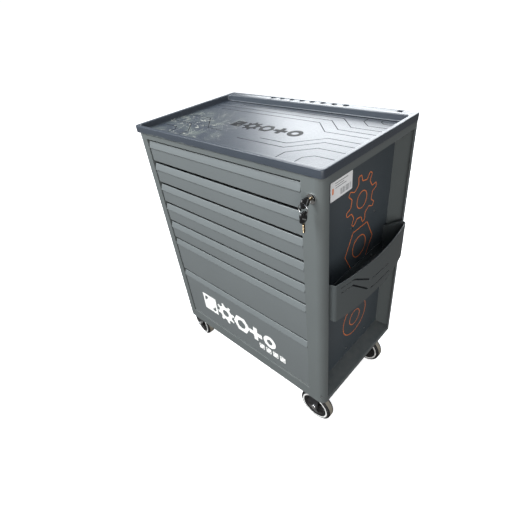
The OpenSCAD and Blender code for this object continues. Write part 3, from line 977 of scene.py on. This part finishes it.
@dataclass
class Film:
    """Shapes cut from thin film and stuck on a flat face.

    Each placed shape has its middle and its size in millimetres, measured from the middle of the worktop
    and from the floor.
    """

    name: str
    body: str
    plane: Plane
    surface: float
    outward: float
    slot: Slot
    finish: Finish
    thickness: float = 0.25 * MM
    glue: float = 0.03 * MM

    def levels(self) -> Point2:
        """Depths of the back and of the face of the film."""
        return self.surface + self.outward * self.glue, self.surface + self.outward * self.thickness

    def lay(self, shape: Placed, corner: float) -> tuple[Outline, list[Outline]]:
        """Put a shape in its place on the face."""
        kind, u, v, size = shape
        return kind.at(self.plane.spot(u, v), size * MM, corner)

    def cut(self, shapes: Sequence[Placed]) -> bpy.types.Object:
        """Lay filled shapes.

        Args:
            shapes: The placed shapes.

        Returns:
            The new piece.
        """
        builder = Builder()
        for shape in shapes:
            outline, holes = self.lay(shape, 0.02 * shape[3] * MM)
            builder.prism(outline, self.plane, *self.levels(), holes)
        return builder.piece(self.name, self.body, self.slot, self.finish)

    def trace(self, shapes: Sequence[Placed], width: float) -> bpy.types.Object:
        """Lay the outlines of shapes as thin lines.

        Args:
            shapes: The placed shapes.
            width: Width of the lines.

        Returns:
            The new piece.
        """
        builder = Builder()
        for shape in shapes:
            outline, holes = self.lay(shape, 2 * width)
            for loop in (outline, *holes):
                builder.prism(loop, self.plane, *self.levels(), [inset(loop, width)])
        return builder.piece(self.name, self.body, self.slot, self.finish)


# ---- Worktop ----


@dataclass
class Worktop:
    """Moulded worktop with a rim, an engraved tray and a drilled ledge along the back.

    The ledge is hollow underneath. The square hole, the screw and the worn corner have their places in
    millimetres from the middle of the worktop.
    """

    rim: float = 12 * MM
    ledge: float = 37.5 * MM
    depth: float = 18 * MM
    corner: float = 10 * MM
    tray_corner: float = 9 * MM
    edge: float = 2.6 * MM
    foot_edge: float = 0.8 * MM
    draft: float = 0.6 * MM
    skin: float = 3.5 * MM
    hollow_side: float = 8 * MM
    hollow_front: float = 4 * MM
    hollow_back: float = 5 * MM
    square: Point2 = (302, 196)
    square_size: float = 14 * MM
    screw: Point2 = (-315, 191)
    screw_radius: float = 3.2 * MM
    screw_depth: float = 0.7 * MM
    worn: Point2 = (-220, -101.5)
    groove_width: float = 2.4 * MM
    groove_depth: float = 0.9 * MM
    groove_bend: float = 5 * MM
    gutter: float = 167.6
    gutter_width: float = 5.6 * MM
    gutter_depth: float = 1.8 * MM
    end: float = 326
    inlay: float = -18
    body: str = "cabinet"

    def lines(self) -> list[list[Point2]]:
        """Draw the engraved lines.

        Returns:
            Corners of each line, in millimetres from the middle of the worktop.
        """
        end = self.end
        behind = [[(-215 - 30 * k, 140 - 28 * k), (170 - 21 * k, 140 - 28 * k), (228 - 21 * k, 82 - 28 * k),
                   (end, 82 - 28 * k)] for k in range(3)]
        short = [[(232, 161), (232, 138), (262, 108), (end, 108)],
                 [(276, 161), (276, 150), (290, 136), (end, 136)]]
        ahead = [[(60 - 60 * k, -84 - 26 * k), (150 + 12 * k, -84 - 26 * k), (222 + 10 * k, -12 - 28 * k),
                  (end, -12 - 28 * k)] for k in range(2)]
        ahead.append([(186, -180), (186, -132), (240, -78), (end, -78)])
        ahead.append([(242, -180), (242, -140), (262, -120), (end, -120)])
        left = [[(-u, v) for u, v in line] for line in (*ahead[2:], *short)]
        left.append([(-end, -14), (-222, -14), (-150, -86), (-90, -86)])
        return behind + short + ahead + left

    def build(self) -> None:
        """Build the worktop and the inlaid mark in its tray."""
        box = Box.of("worktop")
        floor_z = box.hi.z - self.depth
        builder = Builder()
        brim, foot = self.outside(builder, box)
        mouth, floor = self.tray(builder, box, floor_z)
        hollow = ((box.lo.x + self.hollow_side, box.hi.y - self.ledge + self.hollow_front),
                  (box.hi.x - self.hollow_side, box.hi.y - self.hollow_back), 2 * MM, 0.0)
        ceiling_z = box.hi.z - self.skin
        hollow_foot, ceiling = builder.stack([rect_ring(*hollow, z) for z in (box.lo.z, ceiling_z)])
        builder.cap(foot, hollow_foot)
        drilled = [builder.stack(rings_of(hole, [(-1.0 * MM, box.hi.z), (-0.3 * MM, box.hi.z - 0.4 * MM),
                                                 (0.0, box.hi.z - 1.2 * MM), (0.0, ceiling_z)]))
                   for hole in self.holes()]
        screw = circle(Plane.XY.spot(*self.screw), self.screw_radius, 20)
        sunk = [(0.0, box.hi.z), (0.4 * MM, box.hi.z - self.screw_depth)]
        dimple, bottom = builder.stack(rings_of(screw, sunk))
        builder.cap(bottom)
        builder.cap(brim, mouth, dimple, *[top for top, _ in drilled])
        builder.cap(ceiling, *[low for _, low in drilled])
        builder.cap(floor, *self.engrave(builder, floor_z))
        finish = replace(TRAY, corner=(*Plane.XY.spot(*self.worn), floor_z))
        builder.piece("worktop_moulding", self.body, Slot.WORKTOP, finish, GROOVE_SHADE, replaces=["worktop"])
        self.mark(floor_z)

    def outside(self, builder: Builder, box: Box) -> tuple[Loop, Loop]:
        """Build the outer walls, rounded over at the top.

        Args:
            builder: Piece to build on.
            box: Space of the worktop.

        Returns:
            The loop round the top and the loop round the foot.
        """
        outer = ((box.lo.x, box.lo.y), (box.hi.x, box.hi.y), self.corner)
        sides = [rect_ring(*outer, lift - self.foot_edge, box.lo.z + lift) for lift in (0.0, self.foot_edge)]
        sides += [rect_ring(*outer, -self.edge * back, box.hi.z - self.edge + self.edge * up)
                  for up, back in quarter(5)]
        foot, brim = builder.stack(sides)
        return brim, foot

    def tray(self, builder: Builder, box: Box, floor_z: float) -> tuple[Loop, Loop]:
        """Build the walls of the tray, rounded at both ends and drawn in towards the floor.

        Args:
            builder: Piece to build on.
            box: Space of the worktop.
            floor_z: Height of the tray's floor.

        Returns:
            The loop round its mouth and the loop round its floor.
        """
        tray = ((box.lo.x + self.rim, box.lo.y + self.rim), (box.hi.x - self.rim, box.hi.y - self.ledge),
                self.tray_corner)
        wall = [rect_ring(*tray, self.edge * (1 - back), box.hi.z - self.edge * down)
                for back, down in quarter(5)]
        wall += [rect_ring(*tray, -self.draft - self.edge * back, floor_z + self.edge * (1 - down))
                 for down, back in quarter(5)]
        return builder.stack(wall)

    def holes(self) -> list[Outline]:
        """Outline the tool holes in the ledge.

        Returns:
            The round holes that the record gives as mounts, and the square one.
        """
        bores = [mount for mount in frame["record"]["mounts"] if mount["kind"] == "bore"]
        round_holes = [circle(tuple(mount["pos_m"][:2]), mount["dims"]["r_mm"] * MM) for mount in bores]
        u, v = Plane.XY.spot(*self.square)
        half = self.square_size / 2
        return [*round_holes, rounded_rect((u - half, v - half), (u + half, v + half), 1.2 * MM)]

    def engrave(self, builder: Builder, floor_z: float) -> list[Loop]:
        """Sink the engraved lines and the gutter at the back into the tray's floor, and give them a near-black
        finish as painted shade.

        Args:
            builder: Piece to build on.
            floor_z: Height of the tray's floor.

        Returns:
            The loop round the mouth of each groove.
        """
        gutter = [(-self.end - 5, self.gutter), (self.end + 5, self.gutter)]
        cuts = [(line, self.groove_width, self.groove_depth) for line in self.lines()]
        cuts.append((gutter, self.gutter_width, self.gutter_depth))
        rims = []
        # The grooves take the second finish, the near-black painted shade.
        builder.slot = 1
        for line, width, deep in cuts:
            path = [Vector(Plane.XY.spot(u, v)) for u, v in line]
            outline = ribbon(fillet(path, self.groove_bend, closed=False, steps=3), width)
            top, bottom = builder.stack(rings_of(outline, [(0.0, floor_z), (0.3 * MM, floor_z - deep)]))
            builder.cap(bottom)
            rims.append(top)
        builder.slot = 0
        return rims

    def mark(self, floor_z: float) -> None:
        """Lay the dark inlaid shapes in the middle of the tray.

        Args:
            floor_z: Height of the tray's floor.
        """
        film = Film("worktop_inlay", self.body, Plane.XY, floor_z, 1, Slot.WORKTOP, MARK, 0.4 * MM)
        row = ((TILE, -88, 40), (GEAR, -32, 58), (NUT, 24, 46), (PLUS, 74, 42), (WASHER, 124, 44))
        film.cut([(shape, u, self.inlay, size) for shape, u, size in row])


# ---- Drawers ----


@dataclass
class Drawer:
    """One drawer: its folded front, its box and its slides.

    The lower part of the front stands back by the step. The grip strip above it starts in front of that
    and leans back to a hem that is folded behind its top.
    """

    number: int
    sheet: float = 1.5 * MM
    grip: float = 20 * MM
    step: float = 3 * MM
    fold_below: float = 2.2 * MM
    fold_above: float = 0.6 * MM
    lean: float = 6 * MM
    hem: float = 6 * MM
    gap: float = 1.2 * MM
    bend: float = 0.95 * MM
    flange_drop: float = 3 * MM

    @property
    def body(self) -> str:
        """Body that the drawer moves with."""
        return f"drawer_{self.number}"

    def build(self) -> None:
        """Fold the front and dress the box and the slide."""
        node = f"drawer_front_{self.number}"
        box = Box.of(node)
        half = self.sheet / 2
        face = box.lo.y + self.step
        strip = box.hi.z - self.grip
        top = box.lo.y + self.lean
        behind = 3 * half + self.gap
        hem_y = top - self.lean * self.hem / self.grip
        path = [(box.hi.y, box.lo.z + half), (face + half, box.lo.z + half),
                (face + half, strip - self.fold_below), (box.lo.y + half, strip + self.fold_above),
                (top + half, box.hi.z - half),
                (top + behind, box.hi.z - half), (hem_y + behind, box.hi.z - self.hem)]
        section = ribbon(fillet(path, self.bend, closed=False, steps=5), self.sheet)
        builder = Builder()
        builder.prism(section, Plane.YZ, box.lo.x, box.hi.x)
        for x in (box.lo.x, box.hi.x - self.sheet):
            builder.block(Vector((x, face + self.sheet, box.lo.z + self.sheet)),
                          Vector((x + self.sheet, box.hi.y, strip - self.flange_drop)))
        builder.piece(f"{self.body}_folded_front", self.body, Slot.FRONT, FRONT, replaces=[node])
        dress(f"drawer_box_{self.number}", BOX_PAINT, 0.3 * MM)
        dress(f"slide_members_{self.number}", SLIDE, 0.2 * MM)
        if self.number == DRAWERS:
            self.graphic(face)

    def graphic(self, face: float) -> None:
        """Stick the white shapes on the deepest drawer.

        Args:
            face: Where the lower part of the front lies.
        """
        film = Film(f"{self.body}_graphic", self.body, Plane.XZ, face, -1, Slot.WHITE, WHITE)
        row = [(TILE, -174, 312, 78), (GEAR, -88, 310, 88), (NUT, -6, 306, 74), (PLUS, 63, 304, 60),
               (WASHER, 128, 306, 54)]
        film.cut(row + [(TILE, 88 + 31 * k, 258, 24) for k in range(4)])


# ---- Cabinet ----


@dataclass
class Cabinet:
    """Body of the chest, with what is stuck on its right side.

    The label's corner is in millimetres from the middle of the worktop and from the floor.
    """

    line: float = 2.4 * MM
    column: float = 45
    label_corner: Point2 = (-103, 825)
    label_size: Point2 = (95 * MM, 50 * MM)
    paper: float = 0.15 * MM
    ink: float = 0.06 * MM
    body: str = "cabinet"

    def build(self) -> None:
        """Dress the sheet metal and add the side graphics and the label."""
        # The frame takes the darker body paint, which holds painted shade.
        for node in ("post_left", "post_right", "bottom_rail", "top_deck", "back_panel", "base_pan"):
            dress(node, SHADED_BODY, 0.4 * MM)
        for side in ("left", "right"):
            dress(f"side_panel_{side}", PANEL, 0.3 * MM)
            dress(f"cabinet_rails_{side}", SLIDE, 0.2 * MM)
        for node in ("panel_rivets", "lock_bar"):
            dress(node, ZINC, 0.3 * MM)
        face = Box.of("side_panel_right").hi.x
        self.graphics(face)
        self.label(face)

    def graphics(self, face: float) -> None:
        """Trace the orange outlines down the right panel.

        Args:
            face: Where the panel's outer face lies.
        """
        film = Film("side_outline_graphic", self.body, Plane.YZ, face, 1, Slot.ORANGE, ORANGE)
        column = ((GEAR, 770, 146), (NUT, 618, 140), (PLUS, 468, 128), (WASHER, 326, 140))
        film.trace([(shape, self.column, z, size) for shape, z, size in column], self.line)

    def label(self, face: float) -> None:
        """Stick the paper label near the top of the right panel, with bars and lines for its print.

        Args:
            face: Where the panel's outer face lies.
        """
        left, foot = Plane.YZ.spot(*self.label_corner)
        front = face + self.paper
        sheet = Builder()
        self.stamp(sheet, (left, foot), self.label_size, 2.5 * MM, (face, front))
        sheet.piece("panel_label", self.body, Slot.LABEL, PAPER)
        printed = (front, front + self.ink)
        ink = Builder()
        shuffled = random.Random(11)
        for k in range(16):
            bar = (shuffled.choice((0.8, 1.4, 2.0)) * MM, 16 * MM)
            self.stamp(ink, (left + (42 + 3 * k) * MM, foot + 6 * MM), bar, 0.1 * MM, printed, 1)
        for row, share in enumerate((0.8, 0.55, 0.7)):
            height = foot + self.label_size[1] - (8 + 6 * row) * MM
            self.stamp(ink, (left + 20 * MM, height), (share * 68 * MM, 2 * MM), 0.8 * MM, printed, 2)
        ink.piece("panel_label_print", self.body, Slot.LABEL, INK)
        patch = Builder()
        self.stamp(patch, (left + 7 * MM, foot + 18 * MM), (6 * MM, 16 * MM), 1.5 * MM, printed)
        patch.piece("panel_label_patch", self.body, Slot.ORANGE, ORANGE)

    @staticmethod
    def stamp(builder: Builder, lo: Point2, size: Point2, radius: float, depths: Point2,
              steps: int = 5) -> None:
        """Add a thin rounded rectangle that lies flat on the side."""
        outline = rounded_rect(lo, (lo[0] + size[0], lo[1] + size[1]), radius, steps)
        builder.prism(outline, Plane.YZ, *depths)


@dataclass
class SideBin:
    """Bowed bin on the right side, with a rolled lip along its front."""

    lip: float = 2.0 * MM
    squash: float = 0.8
    bulge: float = 20 * MM
    corner: float = 10 * MM
    steps: int = 40
    body: str = "cabinet"

    def build(self) -> None:
        """Dress the bin and roll its lip."""
        dress("side_bin", BIN, 0.5 * MM)
        box = Box.of("side_bin")
        half = (box.hi.y - box.lo.y) / 2
        bow = (half ** 2 + self.bulge ** 2) / (2 * self.bulge)
        straight = half - self.corner
        tall = self.lip * self.squash
        rings = []
        for k in range(self.steps + 1):
            y = straight * (2 * k / self.steps - 1)
            x = box.hi.x - bow + math.sqrt((bow - self.lip) ** 2 - y ** 2)
            middle = Vector((x, box.centre.y + y, box.hi.z - tall))
            rings.append([middle + Vector((self.lip * math.cos(a), 0, tall * math.sin(a)))
                          for a in full_turn(12)])
        builder = Builder()
        for end in builder.stack(rings):
            builder.cap(end)
        builder.piece("side_bin_lip", self.body, Slot.BIN, BIN)


# ---- Lock and keys ----


@dataclass
class Lock:
    """Cam lock in the right post, with a key in it and a spare on the ring.

    A key's origin is the middle of its eye, and its blade points along the Y axis.
    """

    bow_length: float = 26 * MM
    bow_height: float = 22 * MM
    bow_thickness: float = 5 * MM
    bow_corner: float = 7 * MM
    bow_edge: float = 1.1 * MM
    eye: float = 3 * MM
    eye_setback: float = 6 * MM
    stripe_width: float = 2.6 * MM
    blade_height: float = 7 * MM
    blade_thickness: float = 2 * MM
    blade_root: float = 2 * MM
    shoulder: float = 3 * MM
    cuts: int = 5

    def build(self) -> None:
        """Dress the lock and make both keys."""
        dress("lock_body", CHROME, 0.4 * MM)
        dress("lock_plug", CHROME, 0.3 * MM)
        dress("key_ring", CHROME, 0.0)
        joints = {joint["name"]: joint for joint in frame["joints"]}
        for name, joint, turn, length in (("key", "key_ring_swing", 0.0, 20 * MM),
                                          ("spare_key", "spare_key_swing", -math.pi / 2, 26 * MM)):
            place = Matrix.Translation(joints[joint]["pos_m"]) @ Matrix.Rotation(turn, 4, "X")
            self.bow(name, place)
            self.blade(name, place, length)

    def bow(self, name: str, place: Matrix) -> None:
        """Mould the bow of a key, with a slanting stripe on each side.

        Args:
            name: Name of the key.
            place: Place of its eye.
        """
        half = self.bow_thickness / 2
        tall = self.bow_height / 2
        bow = Builder()
        outline = rounded_rect((-self.eye_setback, -tall), (self.bow_length - self.eye_setback, tall),
                               self.bow_corner, 8)
        bow.prism(outline, Plane.YZ, -half, half, [circle((0, 0), self.eye, 24)], soft=self.bow_edge)
        bow.slot = 1
        slant = [Vector((6 * MM, -7 * MM)), Vector((15 * MM, 6 * MM))]
        stripe = fillet(ribbon(slant, self.stripe_width), 1 * MM)
        for side in (-1, 1):
            bow.prism(stripe, Plane.YZ, side * (half - 0.5 * MM), side * (half + 0.25 * MM))
        bow.place(place)
        bow.piece(f"{name}_bow", name, Slot.KEY, KEY, KEY_STRIPE, replaces=[name])

    def blade(self, name: str, place: Matrix, length: float) -> None:
        """Cut the blade of a key.

        Args:
            name: Name of the key.
            place: Place of its eye.
            length: How far the blade stands out of the bow.
        """
        far = self.bow_length - self.eye_setback
        low = -self.blade_height / 2
        root = far - self.blade_root
        start = far + self.shoulder
        step = (length - 2 * self.shoulder) / self.cuts
        shuffled = random.Random(5)
        edge: list[Point2] = [(root, low), (start, low)]
        for k in range(self.cuts):
            deep = low + shuffled.choice((1.0, 1.8, 2.6)) * MM
            edge += [(start + (k + 0.35) * step, deep), (start + (k + 0.65) * step, deep),
                     (start + (k + 1) * step, low + 0.4 * MM)]
        edge += [(far + length, low + 3 * MM), (far + length - 2 * MM, -low), (root, -low)]
        half = self.blade_thickness / 2
        blade = Builder()
        blade.prism(fillet(edge, 0.3 * MM, steps=2), Plane.YZ, -half, half)
        blade.place(place)
        blade.piece(f"{name}_blade", name, Slot.CHROME, BRASS)


# ---- Casters ----


AXIS = 1e-9  # radius of a turned profile's point on its axis


def wheel_place(wheel: str) -> Matrix:
    """Find the place of a wheel.

    Args:
        wheel: Body of the wheel.

    Returns:
        The place, with the axle along the Y axis.
    """
    joint = next(joint for joint in frame["joints"] if joint["child"] == wheel)
    axis = Vector(joint["axis"]).normalized()
    return Matrix.Translation(joint["pos_m"]) @ Matrix((axis.cross(UP), axis, UP)).transposed().to_4x4()


@dataclass
class Wheel:
    """Wheel of a caster: ribbed hub, white side rings, tyre and dusty tread."""

    corner: str
    radius: float = 60 * MM
    hub: float = 44 * MM
    width: float = 31 * MM
    shoulder: float = 7 * MM
    tread_sink: float = 0.4 * MM
    ring: Point2 = (46 * MM, 51.2 * MM)
    web: float = 9 * MM
    boss: float = 14 * MM
    boss_reach: float = 17 * MM
    bore: float = 6.2 * MM
    rim_sink: float = 2.5 * MM
    ribs: int = 10
    rib_half: float = 1.1 * MM

    @property
    def body(self) -> str:
        """Body that the wheel turns with."""
        return f"wheel_{self.corner}"

    def build(self) -> None:
        """Build the hub, the tyre, the tread band and the rings."""
        place = wheel_place(self.body)
        self.build_hub(place)
        self.build_tyre(place)
        half = self.width / 2
        inner, outer = self.ring
        rings = Builder()
        for side in (-1, 1):
            level = [(inner, half - 1 * MM), (inner, half + 0.2 * MM), (inner + 0.4 * MM, half + 0.5 * MM),
                     (outer - 0.4 * MM, half + 0.5 * MM), (outer, half + 0.2 * MM), (outer, half - 1 * MM)]
            rings.lathe([(r, side * t) for r, t in level], place)
        rings.piece(f"{self.body}_side_rings", self.body, Slot.WHITE, RING)

    def build_tyre(self, place: Matrix) -> None:
        """Turn the tyre, and the dusty band round its tread.

        Args:
            place: Place of the wheel.
        """
        half = self.width / 2
        band = half - self.shoulder - 0.6 * MM
        tread = self.radius - self.tread_sink
        corner = [(self.radius - self.shoulder * back, half - self.shoulder * (1 - out))
                  for out, back in quarter(8)]
        right = [(tread, band), (self.radius, band + 0.3 * MM), *corner, (self.hub + 1 * MM, half),
                 (self.hub, half - 1 * MM)]
        tyre = Builder()
        tyre.lathe(right + [(r, -t) for r, t in reversed(right)], place)
        tyre.piece(f"{self.body}_tyre", self.body, Slot.TYRE, TYRE, replaces=[f"tyre_{self.corner}"])
        top = self.radius - 0.05 * MM
        near = [(self.radius, band / 2), (top, band - 0.1 * MM), (tread - 0.2 * MM, band)]
        strip = Builder()
        strip.lathe([(r, -t) for r, t in reversed(near)] + near, place)
        strip.piece(f"{self.body}_tread", self.body, Slot.TYRE, TREAD)

    def build_hub(self, place: Matrix) -> None:
        """Turn the hub and set its ribs between the boss and the rim.

        Args:
            place: Place of the wheel.
        """
        rim = self.width / 2 - self.rim_sink
        face = [(self.bore, self.boss_reach), (self.boss - 1.2 * MM, self.boss_reach),
                (self.boss, self.boss_reach - 1 * MM), (self.boss + 1.5 * MM, self.web + 0.8 * MM),
                (self.boss + 2.5 * MM, self.web), (self.hub - 8.5 * MM, self.web),
                (self.hub - 7.5 * MM, self.web + 0.8 * MM), (self.hub - 6.5 * MM, rim - 0.6 * MM),
                (self.hub - 5.8 * MM, rim), (self.hub, rim)]
        hub = Builder()
        hub.lathe(face + [(r, -t) for r, t in reversed(face)], place, 72)
        inner, outer = self.boss - 1 * MM, self.hub - 6 * MM
        rib = [(inner, self.web - 1 * MM), (outer, self.web - 1 * MM), (outer, rim - 1 * MM),
               (inner + 6 * MM, rim + 1.2 * MM), (inner, rim + 1.6 * MM)]
        for side in (-1, 1):
            section = fillet([(r, side * t) for r, t in rib], 0.5 * MM, steps=2)
            for angle in full_turn(self.ribs):
                start = len(hub.bm.verts)
                hub.prism(section, Plane.XY, -self.rib_half, self.rib_half)
                hub.place(place @ Matrix.Rotation(angle, 4, "Y"), start)
        hub.piece(f"{self.body}_hub", self.body, Slot.HUB, HUB, replaces=[f"hub_{self.corner}"])


@dataclass
class AxleBolt:
    """Axle bolts with a domed head at one end and a nut at the other."""

    node: str
    body: str
    wheels: tuple[str, ...]
    radius: float = 6 * MM
    grip: float = 20.5 * MM
    head: float = 9.6 * MM
    rim: float = 1.2 * MM
    dome: float = 3.6 * MM
    nut: float = 6 * MM
    tail: float = 8.5 * MM

    def build(self) -> None:
        """Build a bolt for each wheel that the node carries."""
        builder = Builder()
        top = self.grip + self.rim + self.dome
        dome = [(self.head * out, -top + self.dome * down) for out, down in quarter(8)[1:]]
        end = self.grip + self.tail
        profile = [(AXIS, -top), *dome, (self.head, -self.grip), (self.radius, -self.grip),
                   (self.radius, end - 1 * MM), (self.radius - 1 * MM, end), (AXIS, end)]
        nut = fillet(polygon((0, 0), self.head, 6), 1.2 * MM, steps=2)
        for wheel in self.wheels:
            place = wheel_place(wheel)
            builder.lathe(profile, place, 48)
            start = len(builder.bm.verts)
            builder.prism(nut, Plane.XZ, self.grip, self.grip + self.nut, soft=0.7 * MM)
            builder.place(place, start)
        builder.piece(f"{self.node}_bolts", self.body, Slot.CHROME, CHROME, replaces=[self.node])


@dataclass
class Casters:
    """The two fixed and the two swivel casters."""

    def build(self) -> None:
        """Build the wheels and bolts and dress the pressed steel."""
        for corner in ("front_right", "rear_right", "front_left", "rear_left"):
            Wheel(corner).build()
        AxleBolt("fixed_axles", "cabinet", ("wheel_front_right", "wheel_rear_right")).build()
        for end in ("front", "rear"):
            AxleBolt(f"fork_axle_{end}", f"swivel_{end}", (f"wheel_{end}_left",)).build()
            dress(f"fork_{end}", CASTER, 0.5 * MM)
            dress(f"fixed_bracket_{end}", CASTER, 0.5 * MM)
            dress(f"swivel_plate_{end}", CASTER, 0.4 * MM)
            dress(f"brake_{end}", BRAKE, 0.8 * MM)
        dress("caster_bolts", ZINC, 0.4 * MM)


# ---- Studio ----


@dataclass
class Studio:
    """Floor, backdrop, lights and camera.

    The camera looks at its aim from a distance in metres, with its angles in degrees.
    """

    aim: Point3 = (0.0431, -0.0992, 0.561)
    distance: float = 1.191
    azimuth: float = 47.97
    elevation: float = 35.64
    roll: float = 7.58
    lens: float = 25.86
    far_end: float = 60.0
    reach: float = 16.0
    bend: float = 6.0
    rise: float = 12.0
    glow: float = 0.8
    lamp_aim: Point3 = (0.0, 0.0, 0.6)

    def build(self) -> None:
        """Set up the floor, the light and the camera."""
        self.bowl()
        self.world()
        self.softbox("key", (-1.3, -2.1, 3.3), (2.4, 2.0), 250.0, (0.96, 0.985, 1.0))
        self.softbox("fill", (2.7, -3.0, 1.6), (2.2, 2.0), 104.0, (1.0, 0.99, 0.97))
        self.softbox("sky", (-0.9, 3.0, 2.15), (3.2, 1.9), 120.0, (0.94, 0.975, 1.0))
        self.camera()
        bpy.context.scene.view_settings.view_transform = "Standard"

    def bowl(self) -> None:
        """Lay a pale floor that curves up all round, and that only the camera sees."""
        flat = self.reach - self.bend
        profile = [(0.01, 0.0), (3.0, 0.0), (flat, 0.0)]
        profile += [(flat + self.bend * out, self.bend * up) for out, up in quarter(16)[1:]]
        profile.append((self.reach, self.rise))
        builder = Builder()
        middle, _ = builder.stack([[Vector((r * math.cos(a), r * math.sin(a), z)) for a in full_turn(96)]
                                   for r, z in profile])
        builder.cap(middle)
        mesh = bpy.data.meshes.new("studio_bowl")
        builder.bm.to_mesh(mesh)
        builder.bm.free()
        mesh.shade_smooth()
        paper = material(FLOOR)
        shader = paper.node_tree.nodes["Principled BSDF"]
        shader.inputs["Emission Color"].default_value = (1.0, 1.0, 1.0, 1.0)
        shader.inputs["Emission Strength"].default_value = self.glow
        mesh.materials.append(paper)
        floor = bpy.data.objects.new("studio_bowl", mesh)
        floor.visible_diffuse = False
        floor.visible_glossy = False
        floor.visible_shadow = False
        bpy.context.scene.collection.objects.link(floor)

    def world(self) -> None:
        """Light everything from a sky that is brighter overhead."""
        world = bpy.data.worlds.new("studio")
        world.use_nodes = True
        tree = Tree(world.node_tree)
        way = tree.node("TexCoord").outputs["Generated"]
        lift = tree.step(tree.axis(way, "Z"), -0.1, 0.9)
        colour = tree.mix(lift, (0.17, 0.165, 0.16, 1.0), (0.34, 0.38, 0.44, 1.0))
        background = world.node_tree.nodes["Background"]
        tree.feed(background.inputs["Color"], colour)
        background.inputs["Strength"].default_value = 1.0
        bpy.context.scene.world = world

    def softbox(self, name: str, place: Point3, size: Point2, power: float, colour: Colour) -> None:
        """Hang a soft rectangular light that faces the chest.

        Args:
            name: Name of the light.
            place: Place of its middle.
            size: Width and height.
            power: Power in watts.
            colour: Linear red, green and blue from 0 to 1.
        """
        light = bpy.data.lights.new(name, "AREA")
        light.shape = "RECTANGLE"
        light.size, light.size_y = size
        light.energy = power
        light.color = colour
        lamp = bpy.data.objects.new(name, light)
        lamp.location = place
        lamp.rotation_euler = (Vector(place) - Vector(self.lamp_aim)).to_track_quat("Z", "Y").to_euler()
        lamp.visible_camera = False
        bpy.context.scene.collection.objects.link(lamp)

    def camera(self) -> None:
        """Place the camera by its aim, distance and angles."""
        turn, lift, tilt = (math.radians(a) for a in (self.azimuth, self.elevation, self.roll))
        back = Vector((math.sin(turn) * math.cos(lift), -math.cos(turn) * math.cos(lift), math.sin(lift)))
        right = (-back).cross(UP).normalized()
        down = (-back).cross(right)
        side = math.cos(tilt) * right + math.sin(tilt) * down
        up = back.cross(side)
        lens = bpy.data.cameras.new("camera")
        lens.lens = self.lens
        lens.clip_end = self.far_end
        eye = bpy.data.objects.new("camera", lens)
        eye.matrix_world = (Matrix.Translation(Vector(self.aim) + back * self.distance)
                            @ Matrix((side, up, back)).transposed().to_4x4())
        bpy.context.scene.collection.objects.link(eye)
        bpy.context.scene.camera = eye


def main() -> None:
    """Build the chest from the top down, then the studio."""
    logging.basicConfig(level=logging.INFO, format="%(name)s: %(message)s")
    Worktop().build()
    Cabinet().build()
    SideBin().build()
    for number in range(1, DRAWERS + 1):
        Drawer(number).build()
    Lock().build()
    Casters().build()
    Studio().build()


if __name__ == "__main__":
    main()
